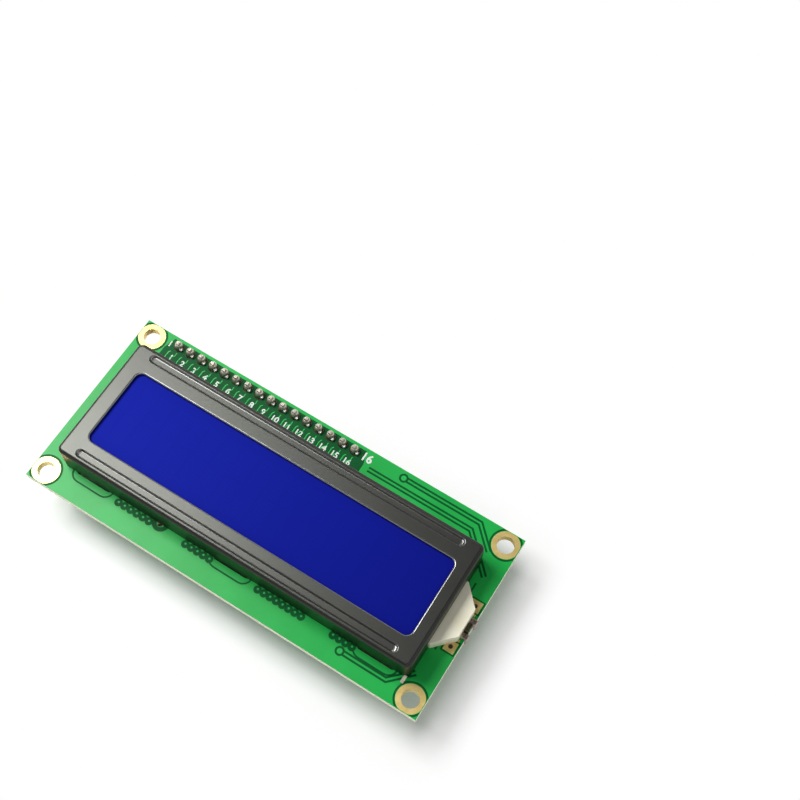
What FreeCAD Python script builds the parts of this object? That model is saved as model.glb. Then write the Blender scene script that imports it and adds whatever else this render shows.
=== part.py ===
import FreeCAD, Part
import math
import os
import re

import Sketcher
from FreeCAD import Placement, Rotation, Vector

# Character display module with a bus adapter board on its back.
#
# Frame: the main board lies flat, its display side faces +Z, +X runs along the long side towards
# the backlight lamp and +Y towards the 16 pin row. The origin is the middle of the four mounting
# holes on the board's display side. Millimetres and degrees.

doc = FreeCAD.newDocument("lcd_module")
sheet = doc.addObject("Spreadsheet::Sheet", "Sizes")

SIZES = (
    # main board
    ("board_length", 80.0),
    ("board_width", 36.0),
    ("board_thickness", 1.6),
    ("mount_inset", 2.5),
    ("mount_hole", 3.2),
    ("pin_hole", 1.0),
    ("wire_hole", 0.8),
    ("wire_hole_inset", 1.45),
    ("wire_hole_spread", 8.2),
    ("lamp_hole_inset", 3.9),
    ("lamp_hole_spread", 2.6),
    ("locating_hole", 1.2),
    ("locating_hole_x", -14.8),
    ("locating_hole_inset", 0.1),
    ("tab_slot_clearance", 0.2),
    # pin row that joins the two boards
    ("pin_pitch", 2.54),
    ("pin_count", 16),
    ("pin_size", 0.64),
    ("pin_row_start", 8.0),
    ("pin_row_inset", 1.6),
    ("strip_height", 2.54),
    ("strip_width", 2.5),
    ("strip_chamfer", 0.4),
    ("pin_end_front", 1.9),
    ("pin_end_back", 1.4),
    ("solder_base", 1.9),
    ("solder_top", 1.1),
    ("solder_height_front", 1.5),
    ("solder_height_back", 1.0),
    # bezel
    ("bezel_margin_left", 4.3),
    ("bezel_margin_right", 4.5),
    ("bezel_margin_upper", 6.5),
    ("bezel_margin_lower", 5.1),
    ("bezel_height", 6.7),
    ("sheet_thickness", 0.5),
    ("bezel_corner", 1.1),
    ("bezel_shoulder", 0.75),
    ("frame_left", 3.3),
    ("frame_right", 2.8),
    ("frame_upper", 4.9),
    ("frame_lower", 4.4),
    ("window_corner", 1.3),
    ("window_roll", 0.3),
    ("bead_end", 3.3),
    ("bead_width", 1.6),
    ("bead_depth", 0.45),
    ("bead_inset", 1.65),
    ("bead_slope", 35.0),
    ("bead_flare", 0.2),
    ("tab_width", 6.9),
    ("tab_inset", 6.5),
    ("tab_blade", 1.5),
    ("tab_twist", 28.0),
    ("tab_lean", 1.1),
    ("skirt_gap", 0.2),
    # display cell and backlight
    ("glass_gap", 0.5),
    ("contact_ledge", 2.3),
    ("glass_thickness", 1.1),
    ("polarizer_thickness", 0.2),
    ("polarizer_margin", 0.9),
    ("zebra_end", 1.6),
    ("zebra_width", 1.8),
    ("zebra_edge", 0.1),
    ("film_thickness", 0.15),
    ("guide_end", 0.4),
    ("guide_side", 0.3),
    ("tongue_width", 12.4),
    ("tongue_nose", 5.5),
    ("tongue_inset", 0.9),
    ("tongue_shoulder", 0.25),
    ("lamp_depth", 0.85),
    ("lamp_height", 1.3),
    ("lamp_width", 1.6),
    ("lamp_y", -0.55),
    ("terminal_width", 1.25),
    ("terminal_rise", 0.75),
    ("terminal_drop", 0.25),
    ("terminal_wrap", 0.45),
    ("terminal_foot", 1.7),
    # resin domes
    ("controller_x", 12.4),
    ("controller_y", -0.9),
    ("controller_diameter", 13.8),
    ("controller_height", 1.6),
    ("driver_x", -13.7),
    ("driver_y", 0.4),
    ("driver_diameter", 11.8),
    ("driver_height", 1.5),
    # chip parts
    ("chip_length", 2.0),
    ("chip_width", 1.25),
    ("chip_height", 0.5),
    ("chip_cap", 0.4),
    ("chip_cap_lip", 0.05),
    ("bridge_x", -31.9),
    ("bridge_y", 5.5),
    ("bridge_diameter", 2.0),
    ("bridge_height", 0.35),
    # adapter board, its outer face looks away from the main board
    ("backpack_end", 1.75),
    ("backpack_width", 19.0),
    ("backpack_thickness", 1.6),
    ("backpack_edge", 1.65),
    # expander chip
    ("expander_x", 0.35),
    ("expander_y", 0.65),
    ("expander_length", 10.3),
    ("expander_width", 7.5),
    ("expander_height", 2.3),
    ("expander_standoff", 0.15),
    ("expander_draft", 7.0),
    ("expander_bevel", 0.45),
    ("pin_mark", 1.2),
    ("pin_mark_depth", 0.08),
    ("lead_pitch", 1.27),
    ("lead_count", 8),
    ("lead_width", 0.42),
    ("lead_thickness", 0.25),
    ("lead_span", 10.4),
    ("lead_foot", 0.8),
    ("lead_bend", 0.15),
    # trimming potentiometer
    ("trimmer_x", 11.65),
    ("trimmer_y", 2.15),
    ("trimmer_length", 6.6),
    ("trimmer_width", 7.0),
    ("trimmer_height", 4.9),
    ("trimmer_foot", 0.5),
    ("trimmer_foot_size", 1.2),
    ("trimmer_edge", 0.15),
    ("trimmer_pin", 0.5),
    ("trimmer_pin_row", 2.3),
    ("trimmer_pin_reach", 0.8),
    ("trimmer_hole", 0.5),
    ("trimmer_hole_x", -2.1),
    ("trimmer_hole_y", -1.9),
    ("rotor_diameter", 2.9),
    ("rotor_clearance", 0.04),
    ("rotor_depth", 1.6),
    ("rotor_proud", 0.12),
    ("rotor_slot", 0.6),
    ("rotor_slot_depth", 0.7),
    ("tick_length", 0.8),
    ("tick_width", 0.16),
    ("tick_depth", 0.12),
    ("tick_gap", 0.3),
    ("tick_count", 9),
    ("tick_angle", 240.0),
    # angled headers
    ("bus_inset", 1.1),
    ("bus_y", 0.95),
    ("bus_count", 4),
    ("jumper_inset", 1.4),
    ("jumper_y", 1.65),
    ("jumper_count", 2),
    ("block_width", 2.5),
    ("block_height", 2.0),
    ("block_chamfer", 0.45),
    ("angle_pin_axis", 3.3),
    ("angle_pin_reach", 7.25),
    ("angle_pin_bend", 0.25),
    ("pin_tail", 0.8),
    # jumper cap
    ("cap_start", 0.7),
    ("cap_length", 5.8),
    ("cap_width_gap", 0.13),
    ("cap_height", 2.4),
    ("cap_edge", 0.15),
    ("cap_cavity", 1.3),
    ("cap_cavity_height", 1.2),
    ("cap_step", 0.35),
    ("cap_step_length", 1.7),
    ("cap_notch_overlap", 0.46),
    ("cap_notch_length", 1.5),
    ("contact_thickness", 0.2),
    ("contact_gap", 0.05),
    ("contact_leaf", 0.9),
    ("contact_length", 4.6),
    ("contact_bar", 0.9),
    # small parts of the adapter board
    ("transistor_x", -15.35),
    ("transistor_y", 2.65),
    ("transistor_length", 2.9),
    ("transistor_width", 1.3),
    ("transistor_height", 1.0),
    ("transistor_standoff", 0.1),
    ("transistor_span", 2.5),
    ("transistor_pitch", 1.9),
    ("small_lead_foot", 0.3),
    ("small_lead_width", 0.42),
    ("small_lead_thickness", 0.14),
    ("small_lead_bend", 0.08),
    ("power_lamp_x", -16.35),
    ("power_lamp_y", -2.65),
    ("power_lamp_lens", 1.1),
    ("capacitor_x", -9.1),
    ("capacitor_y", 2.55),
    ("capacitor_height", 0.9),
)

# Sizes that follow from the ones above. A name may be used in any formula below.
DERIVED = {
    "mount_span_x": "board_length - 2 * mount_inset",
    "mount_span_y": "board_width - 2 * mount_inset",
    "pin_row_length": "(pin_count - 1) * pin_pitch",
    "pin_row_x": "pin_row_start + pin_row_length / 2 - board_length / 2",
    "pin_row_y": "board_width / 2 - pin_row_inset",
    "bezel_length": "board_length - bezel_margin_left - bezel_margin_right",
    "bezel_width": "board_width - bezel_margin_upper - bezel_margin_lower",
    "bezel_x": "(bezel_margin_left - bezel_margin_right) / 2",
    "bezel_y": "(bezel_margin_lower - bezel_margin_upper) / 2",
    "locating_hole_y": "bezel_y - bezel_width / 2 + locating_hole_inset",
    "window_length": "bezel_length - frame_left - frame_right",
    "window_width": "bezel_width - frame_upper - frame_lower",
    "window_shift_x": "(frame_left - frame_right) / 2",
    "window_shift_y": "(frame_lower - frame_upper) / 2",
    "bead_length": "bezel_length - 2 * bead_end",
    "bead_offset": "bezel_width / 2 - bead_inset",
    "tab_pitch": "bezel_length / 2 - tab_inset",
    "glass_length": "bezel_length - 2 * sheet_thickness - 2 * glass_gap",
    "front_glass_width": "bezel_width - 2 * sheet_thickness - 2 * glass_gap",
    "rear_glass_width": "front_glass_width - 2 * contact_ledge",
    "zebra_length": "glass_length - 2 * zebra_end",
    "zebra_offset": "front_glass_width / 2 - zebra_width / 2 - zebra_edge",
    "guide_length": "glass_length - 2 * guide_end",
    "guide_width": "rear_glass_width - 2 * guide_side",
    "tongue_end": "board_length / 2 - tongue_inset",
    "glass_top": "bezel_height - sheet_thickness - bead_depth",
    "front_glass_base": "glass_top - glass_thickness",
    "rear_glass_base": "front_glass_base - glass_thickness",
    "rear_polarizer_base": "rear_glass_base - polarizer_thickness",
    "guide_top": "rear_polarizer_base - film_thickness",
    "guide_thickness": "guide_top - film_thickness",
    "skirt_end_x": "bezel_x + bezel_length / 2",
    "tab_row": "bezel_width / 2 - sheet_thickness / 2",
    "board_back": "-board_thickness",
    "backpack_inner": "-board_thickness - strip_height",
    "backpack_face": "backpack_inner - backpack_thickness",
    "backpack_y": "pin_row_y + backpack_edge - backpack_width / 2",
    "backpack_length": "pin_row_length + 2 * backpack_end",
    "bus_x": "backpack_length / 2 - bus_inset",
    "jumper_x": "jumper_inset - backpack_length / 2",
    "cap_width": "2 * pin_pitch - cap_width_gap",
    "cap_notch": "pin_pitch - cap_cavity + cap_notch_overlap",
    "expander_shoulder": "expander_standoff + (expander_height - expander_standoff) / 2",
    "lead_row_length": "(lead_count - 1) * lead_pitch",
    "rotor_floor": "trimmer_height - rotor_depth",
    "cap_floor": "angle_pin_axis - cap_height / 2",
    "contact_floor": "angle_pin_axis + pin_size / 2 + contact_gap / 2",
}

# Chip resistors: place as seen from the back, and whether the long side runs along Y. Those of the
# adapter board, like its other parts, are placed from that board's middle.
BOARD_RESISTORS = (
    (-20.0, 12.5, False),
    (22.25, -4.1, False),
    (30.9, -2.1, False),
    (30.9, -4.35, False),
    (30.9, -6.6, False),
)
BACKPACK_RESISTORS = (
    (-11.7, 2.45, True),
    (-13.7, -2.55, True),
    (-11.1, -2.55, True),
    (-8.45, -2.55, True),
    (-9.6, -7.25, False),
    (-5.0, -7.25, False),
    (-0.5, -7.25, False),
)

FRONT = Rotation()
BACK = Rotation(Vector(0, 1, 0), 180)  # x runs towards the main board's -X, z away from it
BACK_OUTWARD = Rotation(Vector(1, 0, 0), 180)  # x runs towards the main board's +X


def fill_sheet():
    for row, (alias, number) in enumerate(SIZES, start=1):
        sheet.set(f"A{row}", alias)
        sheet.set(f"B{row}", str(number))
        sheet.setAlias(f"B{row}", alias)
    doc.recompute()


ALIASES = {alias for alias, number in SIZES}


def bound(formula):
    """Write a formula of size names as an expression on the sheet's cells."""

    def reference(match):
        name = match.group()
        if name in ALIASES:
            return "Sizes." + name
        if name in DERIVED:
            return "(" + bound(DERIVED[name]) + ")"
        return name

    return re.sub(r"[a-z][a-z_]*", reference, str(formula))


def value(formula):
    return float(sheet.evalExpression(bound(formula)))


def bind(item, formulas):
    for name, formula in formulas.items():
        item.setExpression(name, bound(formula))


# ---------------------------------------------------------------- bodies and sketches


def new_body(label, x="0", y="0", z="0", facing=FRONT):
    body = doc.addObject("PartDesign::Body", label)
    body.Label = label
    body.AllowCompound = True
    body.Placement = Placement(Vector(), facing)
    bind(body, {"Placement.Base.x": x, "Placement.Base.y": y, "Placement.Base.z": z})
    return body


def origin_part(body, role):
    return next(item for item in body.Origin.OriginFeatures if item.Role == role)


def new_sketch(body, lift="0", plane="XY_Plane"):
    sketch = body.newObject("Sketcher::SketchObject", body.Label + "_outline")
    sketch.AttachmentSupport = [(origin_part(body, plane), "")]
    sketch.MapMode = "FlatFace"
    sketch.setExpression("AttachmentOffset.Base.z", bound(lift))
    return sketch


def fix_point(sketch, geometry, point, x, y):
    for kind, formula in (("DistanceX", x), ("DistanceY", y)):
        index = sketch.addConstraint(Sketcher.Constraint(kind, -1, 1, geometry, point, value(formula)))
        sketch.setExpression(f"Constraints[{index}]", bound(formula))


def add_polygon(sketch, corners):
    """Closed outline through corners, each given as a pair of formulas."""
    places = [Vector(value(x), value(y), 0) for x, y in corners]
    first = sketch.GeometryCount
    count = len(corners)
    for index in range(count):
        sketch.addGeometry(Part.LineSegment(places[index], places[(index + 1) % count]))
    for index in range(count):
        following = first + (index + 1) % count
        sketch.addConstraint(Sketcher.Constraint("Coincident", first + index, 2, following, 1))
    for index, (x, y) in enumerate(corners):
        fix_point(sketch, first + index, 1, x, y)


def add_rectangle(sketch, x, y, length, width):
    """Rectangle about (x, y)."""
    left = f"{x} - ({length}) / 2"
    right = f"{x} + ({length}) / 2"
    low = f"{y} - ({width}) / 2"
    high = f"{y} + ({width}) / 2"
    add_polygon(sketch, ((left, low), (right, low), (right, high), (left, high)))


def add_octagon(sketch, reach):
    """Eight equal sides about the sketch's middle, each at the reach from it."""
    near = f"{reach} * tan(22.5)"
    corners = (
        (reach, f"-{near}"),
        (reach, near),
        (near, reach),
        (f"-{near}", reach),
        (f"-{reach}", near),
        (f"-{reach}", f"-{near}"),
        (f"-{near}", f"-{reach}"),
        (near, f"-{reach}"),
    )
    add_polygon(sketch, corners)


def add_circle(sketch, x, y, diameter):
    centre = Vector(value(x), value(y), 0)
    circle = sketch.addGeometry(Part.Circle(centre, Vector(0, 0, 1), value(diameter) / 2))
    fix_point(sketch, circle, 3, x, y)
    index = sketch.addConstraint(Sketcher.Constraint("Diameter", circle, value(diameter)))
    sketch.setExpression(f"Constraints[{index}]", bound(diameter))


def add_slot(sketch, x, y, length, width):
    """Outline with two straight sides along X and round ends."""
    radius = value(width) / 2
    left = Vector(value(x) - value(length) / 2 + radius, value(y), 0)
    right = Vector(value(x) + value(length) / 2 - radius, value(y), 0)
    up = Vector(0, radius, 0)
    normal = Vector(0, 0, 1)
    quarter = math.pi / 2
    lower = sketch.addGeometry(Part.LineSegment(left - up, right - up))
    end = sketch.addGeometry(Part.ArcOfCircle(Part.Circle(right, normal, radius), -quarter, quarter))
    upper = sketch.addGeometry(Part.LineSegment(right + up, left + up))
    start = sketch.addGeometry(Part.ArcOfCircle(Part.Circle(left, normal, radius), quarter, 3 * quarter))
    for this, following in ((lower, end), (end, upper), (upper, start), (start, lower)):
        sketch.addConstraint(Sketcher.Constraint("Tangent", this, 2, following, 1))
    fix_point(sketch, end, 3, f"{x} + ({length} - {width}) / 2", y)
    fix_point(sketch, start, 3, f"{x} - ({length} - {width}) / 2", y)
    index = sketch.addConstraint(Sketcher.Constraint("Radius", end, radius))
    sketch.setExpression(f"Constraints[{index}]", bound(f"({width}) / 2"))


def pad(body, sketch, length, downward=False, midplane=False, taper=None):
    feature = body.newObject("PartDesign::Pad", body.Label + "_pad")
    feature.Profile = sketch
    feature.Reversed = downward
    feature.Midplane = midplane
    bind(feature, {"Length": length})
    if taper is not None:
        bind(feature, {"TaperAngle": taper})
    doc.recompute()
    return feature


def pocket(body, sketch, depth, upward=False, taper=None):
    """Cut into the body from the sketch, and see that something was cut."""
    before = body.Shape.Volume
    feature = body.newObject("PartDesign::Pocket", body.Label + "_pocket")
    feature.Profile = sketch
    feature.Reversed = upward
    bind(feature, {"Length": depth})
    if taper is not None:
        bind(feature, {"TaperAngle": taper})
    doc.recompute()
    if body.Shape.Volume > before - 1e-6:
        raise RuntimeError(f"{feature.Name} cuts nothing")
    return feature


def repeat_along(body, feature, axis, pitch, count):
    pattern = body.newObject("PartDesign::LinearPattern", body.Label + "_row")
    pattern.Originals = [feature]
    pattern.Direction = (origin_part(body, axis), [""])
    bind(pattern, {"Length": f"({count} - 1) * ({pitch})", "Occurrences": count})
    body.Tip = pattern
    doc.recompute()
    return pattern


def edges_where(feature, keep):
    edges = enumerate(feature.Shape.Edges, start=1)
    return [f"Edge{index}" for index, edge in edges if keep(edge)]


def round_edges(body, feature, keep, radius):
    fillet = body.newObject("PartDesign::Fillet", body.Label + "_fillet")
    fillet.Base = (feature, edges_where(feature, keep))
    bind(fillet, {"Radius": radius})
    doc.recompute()
    return fillet


def bevel_edges(body, feature, keep, size):
    chamfer = body.newObject("PartDesign::Chamfer", body.Label + "_chamfer")
    chamfer.Base = (feature, edges_where(feature, keep))
    bind(chamfer, {"Size": size})
    doc.recompute()
    return chamfer


def is_upright(edge):
    box = edge.BoundBox
    return box.XLength < 1e-6 and box.YLength < 1e-6


def is_at_height(edge, height):
    box = edge.BoundBox
    return abs(box.ZMin - height) < 1e-6 and abs(box.ZMax - height) < 1e-6


def plain_box(label, x, y, base, length, width, height):
    """Block about (x, y), standing on the height base."""
    block = doc.addObject("Part::Box", label)
    block.Label = label
    bind(
        block,
        {
            "Length": length,
            "Width": width,
            "Height": height,
            "Placement.Base.x": f"{x} - ({length}) / 2",
            "Placement.Base.y": f"{y} - ({width}) / 2",
            "Placement.Base.z": base,
        },
    )
    return block


def turned_pattern(body, kind, name):
    """A pattern or mirror that repeats the whole body built so far."""
    pattern = body.newObject(kind, body.Label + name)
    pattern.TransformMode = "Whole shape"
    return pattern


def repeat_body_along(body, axis, pitch, count):
    pattern = turned_pattern(body, "PartDesign::LinearPattern", "_row")
    pattern.Direction = (origin_part(body, axis), [""])
    bind(pattern, {"Length": f"({count} - 1) * ({pitch})", "Occurrences": count})
    body.Tip = pattern
    doc.recompute()
    return pattern


def mirror_body(body, plane):
    mirror = turned_pattern(body, "PartDesign::Mirrored", "_mirror")
    mirror.MirrorPlane = (origin_part(body, plane), [""])
    body.Tip = mirror
    doc.recompute()
    return mirror


# ---------------------------------------------------------------- main board and bezel


def build_main_board():
    board = new_body("main_board")
    outline = new_sketch(board)
    add_rectangle(outline, "0", "0", "board_length", "board_width")
    pad(board, outline, "board_thickness", downward=True)

    holes = new_sketch(board)
    for side in (-1, 1):
        for edge in (-1, 1):
            add_circle(holes, f"{side} * mount_span_x / 2", f"{edge} * mount_span_y / 2", "mount_hole")
        wire_y = f"lamp_y + {side} * wire_hole_spread / 2"
        add_circle(holes, "board_length / 2 - wire_hole_inset", wire_y, "wire_hole")
        lamp_hole_y = f"lamp_y + {side} * lamp_hole_spread / 2"
        add_circle(holes, "board_length / 2 - lamp_hole_inset", lamp_hole_y, "wire_hole")
        for place in (-1, 0, 1):
            add_slot(
                holes,
                f"bezel_x + {place} * tab_pitch",
                f"bezel_y + {side} * (tab_row)",
                "(tab_width + 2 * tab_slot_clearance)",
                "(sheet_thickness + 2 * tab_slot_clearance)",
            )
    add_circle(holes, "locating_hole_x", "locating_hole_y", "locating_hole")
    pocket(board, holes, "board_thickness")

    first_hole = new_sketch(board)
    add_circle(first_hole, "pin_row_x - pin_row_length / 2", "pin_row_y", "pin_hole")
    drilled = pocket(board, first_hole, "board_thickness")
    repeat_along(board, drilled, "X_Axis", "pin_pitch", "pin_count")
    return board


def build_bezel():
    """Pressed sheet cover: shell, window with a rolled edge, two beads and six twisted tabs."""
    bezel = new_body("bezel", "bezel_x", "bezel_y")
    top = value("bezel_height")
    outline = new_sketch(bezel)
    add_rectangle(outline, "0", "0", "bezel_length", "bezel_width")
    block = pad(bezel, outline, "bezel_height")
    block = round_edges(bezel, block, is_upright, "bezel_corner")
    block = round_edges(bezel, block, lambda edge: is_at_height(edge, top), "bezel_shoulder")

    shell = bezel.newObject("PartDesign::Thickness", "bezel_shell")
    faces = enumerate(block.Shape.Faces, start=1)
    shell.Base = (block, [f"Face{index}" for index, face in faces if face.BoundBox.ZMax < 1e-6])
    shell.Reversed = True
    bind(shell, {"Value": "sheet_thickness"})
    doc.recompute()

    cut_bezel_window(bezel, top)
    press_beads(bezel)

    opening = new_sketch(bezel)
    gap_width = "(tongue_width + 2 * skirt_gap)"
    add_rectangle(opening, "bezel_length / 2", "lamp_y - bezel_y", "4 * sheet_thickness", gap_width)
    pocket(bezel, opening, "guide_top + skirt_gap", upward=True)

    straight = new_sketch(bezel)
    for side in (-1, 1):
        for place in (-1, 0, 1):
            tab_x = f"{place} * tab_pitch"
            add_rectangle(straight, tab_x, f"{side} * tab_row", "tab_width", "sheet_thickness")
    pad(bezel, straight, "board_thickness", downward=True)
    for side in (-1, 1):
        for place in (-1, 0, 1):
            add_tab_blade(bezel, place, side)
    return bezel


def cut_bezel_window(bezel, top):
    window = new_sketch(bezel, "bezel_height")
    add_rectangle(window, "window_shift_x", "window_shift_y", "window_length", "window_width")
    cut = pocket(bezel, window, "sheet_thickness * 2")
    inner_limit = value("bezel_length") / 2 - value("bezel_corner") - value("sheet_thickness")

    def in_window(edge):
        box = edge.BoundBox
        return box.ZMin > value("guide_top") and max(abs(box.XMin), abs(box.XMax)) < inner_limit

    cut = round_edges(bezel, cut, lambda edge: is_upright(edge) and in_window(edge), "window_corner")
    rim_length = value("window_length") + 1e-3

    def on_rim(edge):
        box = edge.BoundBox
        inside = box.YLength < value("window_width") + 1e-3 and box.XLength < rim_length
        return is_at_height(edge, top) and in_window(edge) and inside

    round_edges(bezel, cut, on_rim, "window_roll")


def press_beads(bezel):
    """Two long beads pressed inward, which hold the display cell down on its contact strips."""
    under = new_sketch(bezel, "bezel_height - sheet_thickness")
    groove = new_sketch(bezel, "bezel_height")
    for side in (-1, 1):
        row = f"{side} * bead_offset"
        add_slot(under, "0", row, "(bead_length + bead_flare)", "(bead_width + bead_flare)")
        add_slot(groove, "0", row, "bead_length", "bead_width")
    pad(bezel, under, "bead_depth", downward=True, taper="-bead_slope")
    pocket(bezel, groove, "bead_depth", taper="-bead_slope")


def add_tab_blade(bezel, place, side):
    """The end of a tab, twisted and leaning inward so that it grips the back of the board."""
    root = new_sketch(bezel, "-board_thickness")
    tip = new_sketch(bezel, "-board_thickness - tab_blade")
    for section, row in ((root, "tab_row"), (tip, "(tab_row - tab_lean)")):
        add_rectangle(section, "0", "0", "tab_width", "sheet_thickness")
        place_x = f"{place} * tab_pitch"
        bind(section, {"AttachmentOffset.Base.x": place_x, "AttachmentOffset.Base.y": f"{side} * {row}"})
    bind(tip, {"AttachmentOffset.Rotation.Angle": "-tab_twist"})
    blade = bezel.newObject("PartDesign::AdditiveLoft", "bezel_blade")
    blade.Profile = root
    blade.Sections = [tip]
    doc.recompute()


# ---------------------------------------------------------------- display cell and backlight


def build_display_cell():
    window_x = "bezel_x + window_shift_x"
    window_y = "bezel_y + window_shift_y"
    polarizer = ("window_length + 2 * polarizer_margin", "window_width + 2 * polarizer_margin")
    front_glass = ("glass_length", "front_glass_width")
    rear_glass = ("glass_length", "rear_glass_width")
    film = ("guide_length", "guide_width")
    layers = (
        ("front_polarizer", window_x, window_y, "glass_top", polarizer, "polarizer_thickness"),
        ("front_glass", "bezel_x", "bezel_y", "front_glass_base", front_glass, "glass_thickness"),
        ("rear_glass", "bezel_x", "bezel_y", "rear_glass_base", rear_glass, "glass_thickness"),
        ("rear_polarizer", window_x, window_y, "rear_polarizer_base", polarizer, "polarizer_thickness"),
        ("diffuser_sheet", "bezel_x", "bezel_y", "guide_top", film, "film_thickness"),
        ("reflector_sheet", "bezel_x", "bezel_y", "0", film, "film_thickness"),
    )
    cell = [plain_box(label, x, y, base, *plan, height) for label, x, y, base, plan, height in layers]
    for label, side in (("zebra_strip_upper", "+"), ("zebra_strip_lower", "-")):
        place = ("bezel_x", f"bezel_y {side} zebra_offset", "0")
        cell.append(plain_box(label, *place, "zebra_length", "zebra_width", "front_glass_base"))
    return cell


def build_light_guide():
    guide = new_body("light_guide", z="film_thickness")
    left = "bezel_x - guide_length / 2"
    right = "bezel_x + guide_length / 2"
    shoulder = "skirt_end_x + tongue_shoulder"
    outline = new_sketch(guide)
    add_polygon(
        outline,
        (
            (left, "bezel_y - guide_width / 2"),
            (right, "bezel_y - guide_width / 2"),
            (right, "lamp_y - tongue_width / 2"),
            (shoulder, "lamp_y - tongue_width / 2"),
            ("tongue_end", "lamp_y - tongue_nose / 2"),
            ("tongue_end", "lamp_y + tongue_nose / 2"),
            (shoulder, "lamp_y + tongue_width / 2"),
            (right, "lamp_y + tongue_width / 2"),
            (right, "bezel_y + guide_width / 2"),
            (left, "bezel_y + guide_width / 2"),
        ),
    )
    pad(guide, outline, "guide_thickness")
    return guide


def build_backlight_lamp():
    """Lamp at the tongue's end, with two feet soldered round the edge of the board."""
    lamp_x = "tongue_end + lamp_depth / 2"
    lamp = plain_box("backlight_lamp", lamp_x, "lamp_y", "0", "lamp_depth", "lamp_width", "lamp_height")

    foot_pitch = "(lamp_width + terminal_width)"
    feet = new_body("backlight_terminals", y=f"lamp_y - {foot_pitch} / 2")
    edge = "board_length / 2"
    outer = f"{edge} + terminal_wrap"
    under = "-board_thickness - terminal_drop"
    outline = new_sketch(feet, plane="XZ_Plane")
    add_polygon(
        outline,
        (
            ("tongue_end", "0"),
            ("tongue_end", "terminal_rise"),
            (outer, "terminal_rise"),
            (outer, under),
            (f"{edge} - terminal_foot", under),
            (f"{edge} - terminal_foot", "-board_thickness"),
            (edge, "-board_thickness"),
            (edge, "0"),
        ),
    )
    foot = pad(feet, outline, "terminal_width", midplane=True)
    outer_x = value(outer)

    def on_outside(line):
        box = line.BoundBox
        return box.XLength < 1e-6 and box.ZLength < 1e-6 and abs(box.XMin - outer_x) < 1e-6

    round_edges(feet, foot, on_outside, "terminal_drop")
    repeat_body_along(feet, "Y_Axis", foot_pitch, "2")
    return [lamp, feet]


# ---------------------------------------------------------------- back of the main board


def build_dome(label, base):
    """Drop of resin or solder that hangs on a back face."""
    name = label.split("_")[0]
    radius = f"{name}_diameter / 2"
    dome = doc.addObject("Part::Ellipsoid", label)
    dome.Label = label
    dome.Angle1 = 0
    dome.Placement = Placement(Vector(), BACK)
    bind(
        dome,
        {
            "Radius1": f"{name}_height",
            "Radius2": radius,
            "Radius3": radius,
            "Placement.Base.x": f"-{name}_x",
            "Placement.Base.y": f"{name}_y",
            "Placement.Base.z": base,
        },
    )
    return dome


def build_chip(label, place, along_y, height, middle_height=None):
    """Chip part on a back face: a body between two metal end caps."""
    cap_width = "chip_width + 2 * chip_cap_lip"
    cap_x = "(chip_length - chip_cap) / 2"
    body = plain_box(
        label + "_body",
        "0",
        "0",
        "chip_cap_lip",
        "chip_length - 2 * chip_cap",
        "chip_width",
        f"{middle_height or height} - 2 * chip_cap_lip",
    )
    pieces = [body]
    for name, side in (("_left", "-"), ("_right", "")):
        pieces.append(plain_box(label + name, f"{side}{cap_x}", "0", "0", "chip_cap", cap_width, height))
    chip = doc.addObject("Part::MultiFuse", label)
    chip.Label = label
    chip.Shapes = pieces
    chip.Placement = Placement(Vector(), BACK.multiply(Rotation(Vector(0, 0, 1), 90 if along_y else 0)))
    bind(chip, {f"Placement.Base.{axis}": formula for axis, formula in zip("xyz", place)})
    return chip


def build_board_parts():
    pieces = []
    for label in ("controller_blob", "driver_blob", "bridge_solder"):
        pieces.append(build_dome(label, "board_back"))
    for number, (x, y, along_y) in enumerate(BOARD_RESISTORS, start=1):
        place = (f"-({x})", y, "board_back")
        pieces.append(build_chip(f"board_resistor_{number}", place, along_y, "chip_height"))
    return pieces


# ---------------------------------------------------------------- pin row between the boards


def chamfered_block(sketch, length, width, chamfer):
    """Plan of one header position: its neighbours meet it at the two ends along X."""
    half_x = f"({length}) / 2"
    half_y = f"({width}) / 2"
    add_polygon(
        sketch,
        (
            (f"-{half_x} + {chamfer}", f"-{half_y}"),
            (f"{half_x} - {chamfer}", f"-{half_y}"),
            (half_x, f"-{half_y} + {chamfer}"),
            (half_x, f"{half_y} - {chamfer}"),
            (f"{half_x} - {chamfer}", half_y),
            (f"-{half_x} + {chamfer}", half_y),
            (f"-{half_x}", f"{half_y} - {chamfer}"),
            (f"-{half_x}", f"-{half_y} + {chamfer}"),
        ),
    )
    add_rectangle(sketch, "0", "0", "pin_size", "pin_size")


def build_pin_row():
    row_start = "pin_row_x - pin_row_length / 2"
    strip = new_body("header_strip", row_start, "pin_row_y", "backpack_inner")
    plan = new_sketch(strip)
    chamfered_block(plan, "pin_pitch", "strip_width", "strip_chamfer")
    block = pad(strip, plan, "strip_height")
    repeat_along(strip, block, "X_Axis", "pin_pitch", "pin_count")

    pins = new_body("header_pins", row_start, "pin_row_y", "backpack_face - pin_end_back")
    section = new_sketch(pins)
    add_rectangle(section, "0", "0", "pin_size", "pin_size")
    pin = pad(pins, section, "pin_end_front - (backpack_face - pin_end_back)")
    repeat_along(pins, pin, "X_Axis", "pin_pitch", "pin_count")

    front = build_solder_row("header_solder_front", "0", FRONT, "solder_height_front")
    back = build_solder_row("header_solder_back", "backpack_face", BACK_OUTWARD, "solder_height_back")
    return [strip, pins, front, back]


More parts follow.
